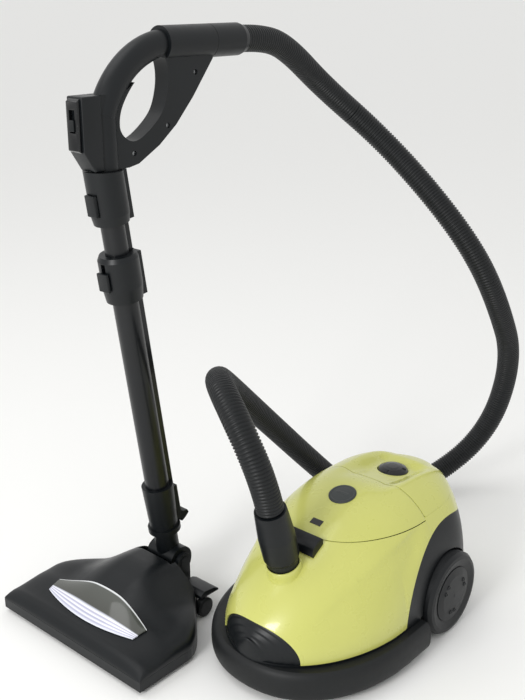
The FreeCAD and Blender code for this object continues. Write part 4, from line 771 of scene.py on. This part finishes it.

# Polycarbonate moulded, drawn as an opaque piece: painted shade stands for the dark lamp well seen through
# it, and painted highlights stand for its front prisms catching light and for a thin bright rim at its rear
# edge.
lens_with_painted_light, lens_shader, lens_place = surface("Polycarbonate ribbed lens, painted shade and highlights", [
    ("IOR", 1.58), ("Coat Weight", 0.5), ("Coat Roughness", 0.05)])
lens_map = add(lens_with_painted_light, "UVMap", uv_map="UVMap")
lens_axes = add(lens_with_painted_light, "SeparateXYZ", [("Vector", lens_map.outputs["UV"])])
lens_painted_light_bands = add(lens_with_painted_light, "ValToRGB", [("Fac", lens_axes.outputs["Y"])])
lens_painted_light_bands.color_ramp.elements[0].color = linear("#DDE0E2")
lens_painted_light_bands.color_ramp.elements[1].color = linear("#E9ECF4")
# Painted bands from rear to front: a painted highlight on the rim, painted shade for the well, then painted
# prism highlights.
for place, tone in ((0.035, "#E4E6E8"), (0.06, "#474A44"), (0.60, "#3A3B35"), (0.64, "#C9CCD8"),
                    (0.68, "#F2F3F8"), (0.72, "#A7A6C0"), (0.78, "#F4F5FA"), (0.82, "#9FA0BC"),
                    (0.88, "#F0F1F8"), (0.92, "#A9AAC2")):
    lens_painted_light_bands.color_ramp.elements.new(place).color = linear(tone)
lens_cloud = add(lens_with_painted_light, "TexNoise", [("Vector", lens_place), ("Scale", 1 / 0.012), ("Detail", 3.0)])
lens_haze = add(lens_with_painted_light, "MapRange", [
    ("Value", lens_cloud.outputs["Fac"]), ("To Min", 0.08), ("To Max", 0.22)])
connect(lens_with_painted_light, lens_painted_light_bands.outputs["Color"], lens_shader, "Base Color")
connect(lens_with_painted_light, lens_haze.outputs["Result"], lens_shader, "Roughness")
fitted(lens, "body", lens_with_painted_light, "lamp_lens", "lamp_lens")

# Glass, frosted inside: the bulb's envelope, warm white with a soft gloss.
bulb_glass, bulb_shader, bulb_place = surface("Lamp glass", [("IOR", 1.45), ("Coat Weight", 0.3)])
bulb_cloud = add(bulb_glass, "TexNoise", [("Vector", bulb_place), ("Scale", 1 / 0.01), ("Detail", 2.0)])
bulb_tone = add(bulb_glass, "ValToRGB", [("Fac", bulb_cloud.outputs["Fac"])])
bulb_tone.color_ramp.elements[0].color = linear("#E8E6DC")
bulb_tone.color_ramp.elements[1].color = linear("#F6F4EC")
bulb_haze = add(bulb_glass, "MapRange", [
    ("Value", bulb_cloud.outputs["Fac"]), ("To Min", 0.1), ("To Max", 0.25)])
connect(bulb_glass, bulb_tone.outputs["Color"], bulb_shader, "Base Color")
connect(bulb_glass, bulb_haze.outputs["Result"], bulb_shader, "Roughness")
dress(bulb_glass, "lamp_bulb")

# ----------------------------------------------------------------------------------------------------------
# Screws and working parts: turned steel, filter foam, bag paper and the control circuit's board. All but
# the handle's screws show only while the lid is open, or through the slots at the back.
# ----------------------------------------------------------------------------------------------------------


def inner_finish(name, dark, pale, rough, size_mm, depth, metallic=0.0):
    """Two close tones in patches of a given size, a gloss that follows them, and a bump of a given depth."""
    material, shader, place = surface(name, [("Metallic", metallic)])
    cloud = add(material, "TexNoise", [("Vector", place), ("Scale", 1000 / size_mm), ("Detail", 5.0)])
    tone = add(material, "ValToRGB", [("Fac", cloud.outputs["Fac"])])
    for stop, colour in zip(tone.color_ramp.elements, (dark, pale)):
        stop.color = linear(colour)
    gloss = add(material, "MapRange", [
        ("Value", cloud.outputs["Fac"]), ("To Min", rough - 0.08), ("To Max", rough + 0.08)])
    bump = add(material, "Bump", [("Height", cloud.outputs["Fac"]), ("Strength", 0.5), ("Distance", depth)])
    connect(material, tone.outputs["Color"], shader, "Base Color")
    connect(material, gloss.outputs["Result"], shader, "Roughness")
    connect(material, bump.outputs["Normal"], shader, "Normal")
    return material


# Steel turned on a lathe: bright grey metal whose gloss varies with a trace of oil.
dress(inner_finish("Steel, turned", "#9EA0A3", "#B4B6B8", 0.30, 3.0, 0.00003, metallic=1.0),
      "handle_screws", "button_spring", "motor_rotor")
# Kraft paper: matt tan, mottled by its fibres, which are drawn coarser than real ones so that they show.
dress(inner_finish("Dust bag paper", "#B9A888", "#CDBE9F", 0.85, 2.5, 0.00020), "dust_bag")
# Polyether foam: off-white and chalky, pitted by its open cells.
dress(inner_finish("Filter foam, open cell", "#C9C9C2", "#DEDED8", 0.92, 1.2, 0.00040), "air_filters")
# Glass-fibre laminate under green solder mask: a dull sheen, nearly flat.
dress(inner_finish("Circuit board laminate", "#1B4A2B", "#235A35", 0.4, 6.0, 0.00005), "control_board")
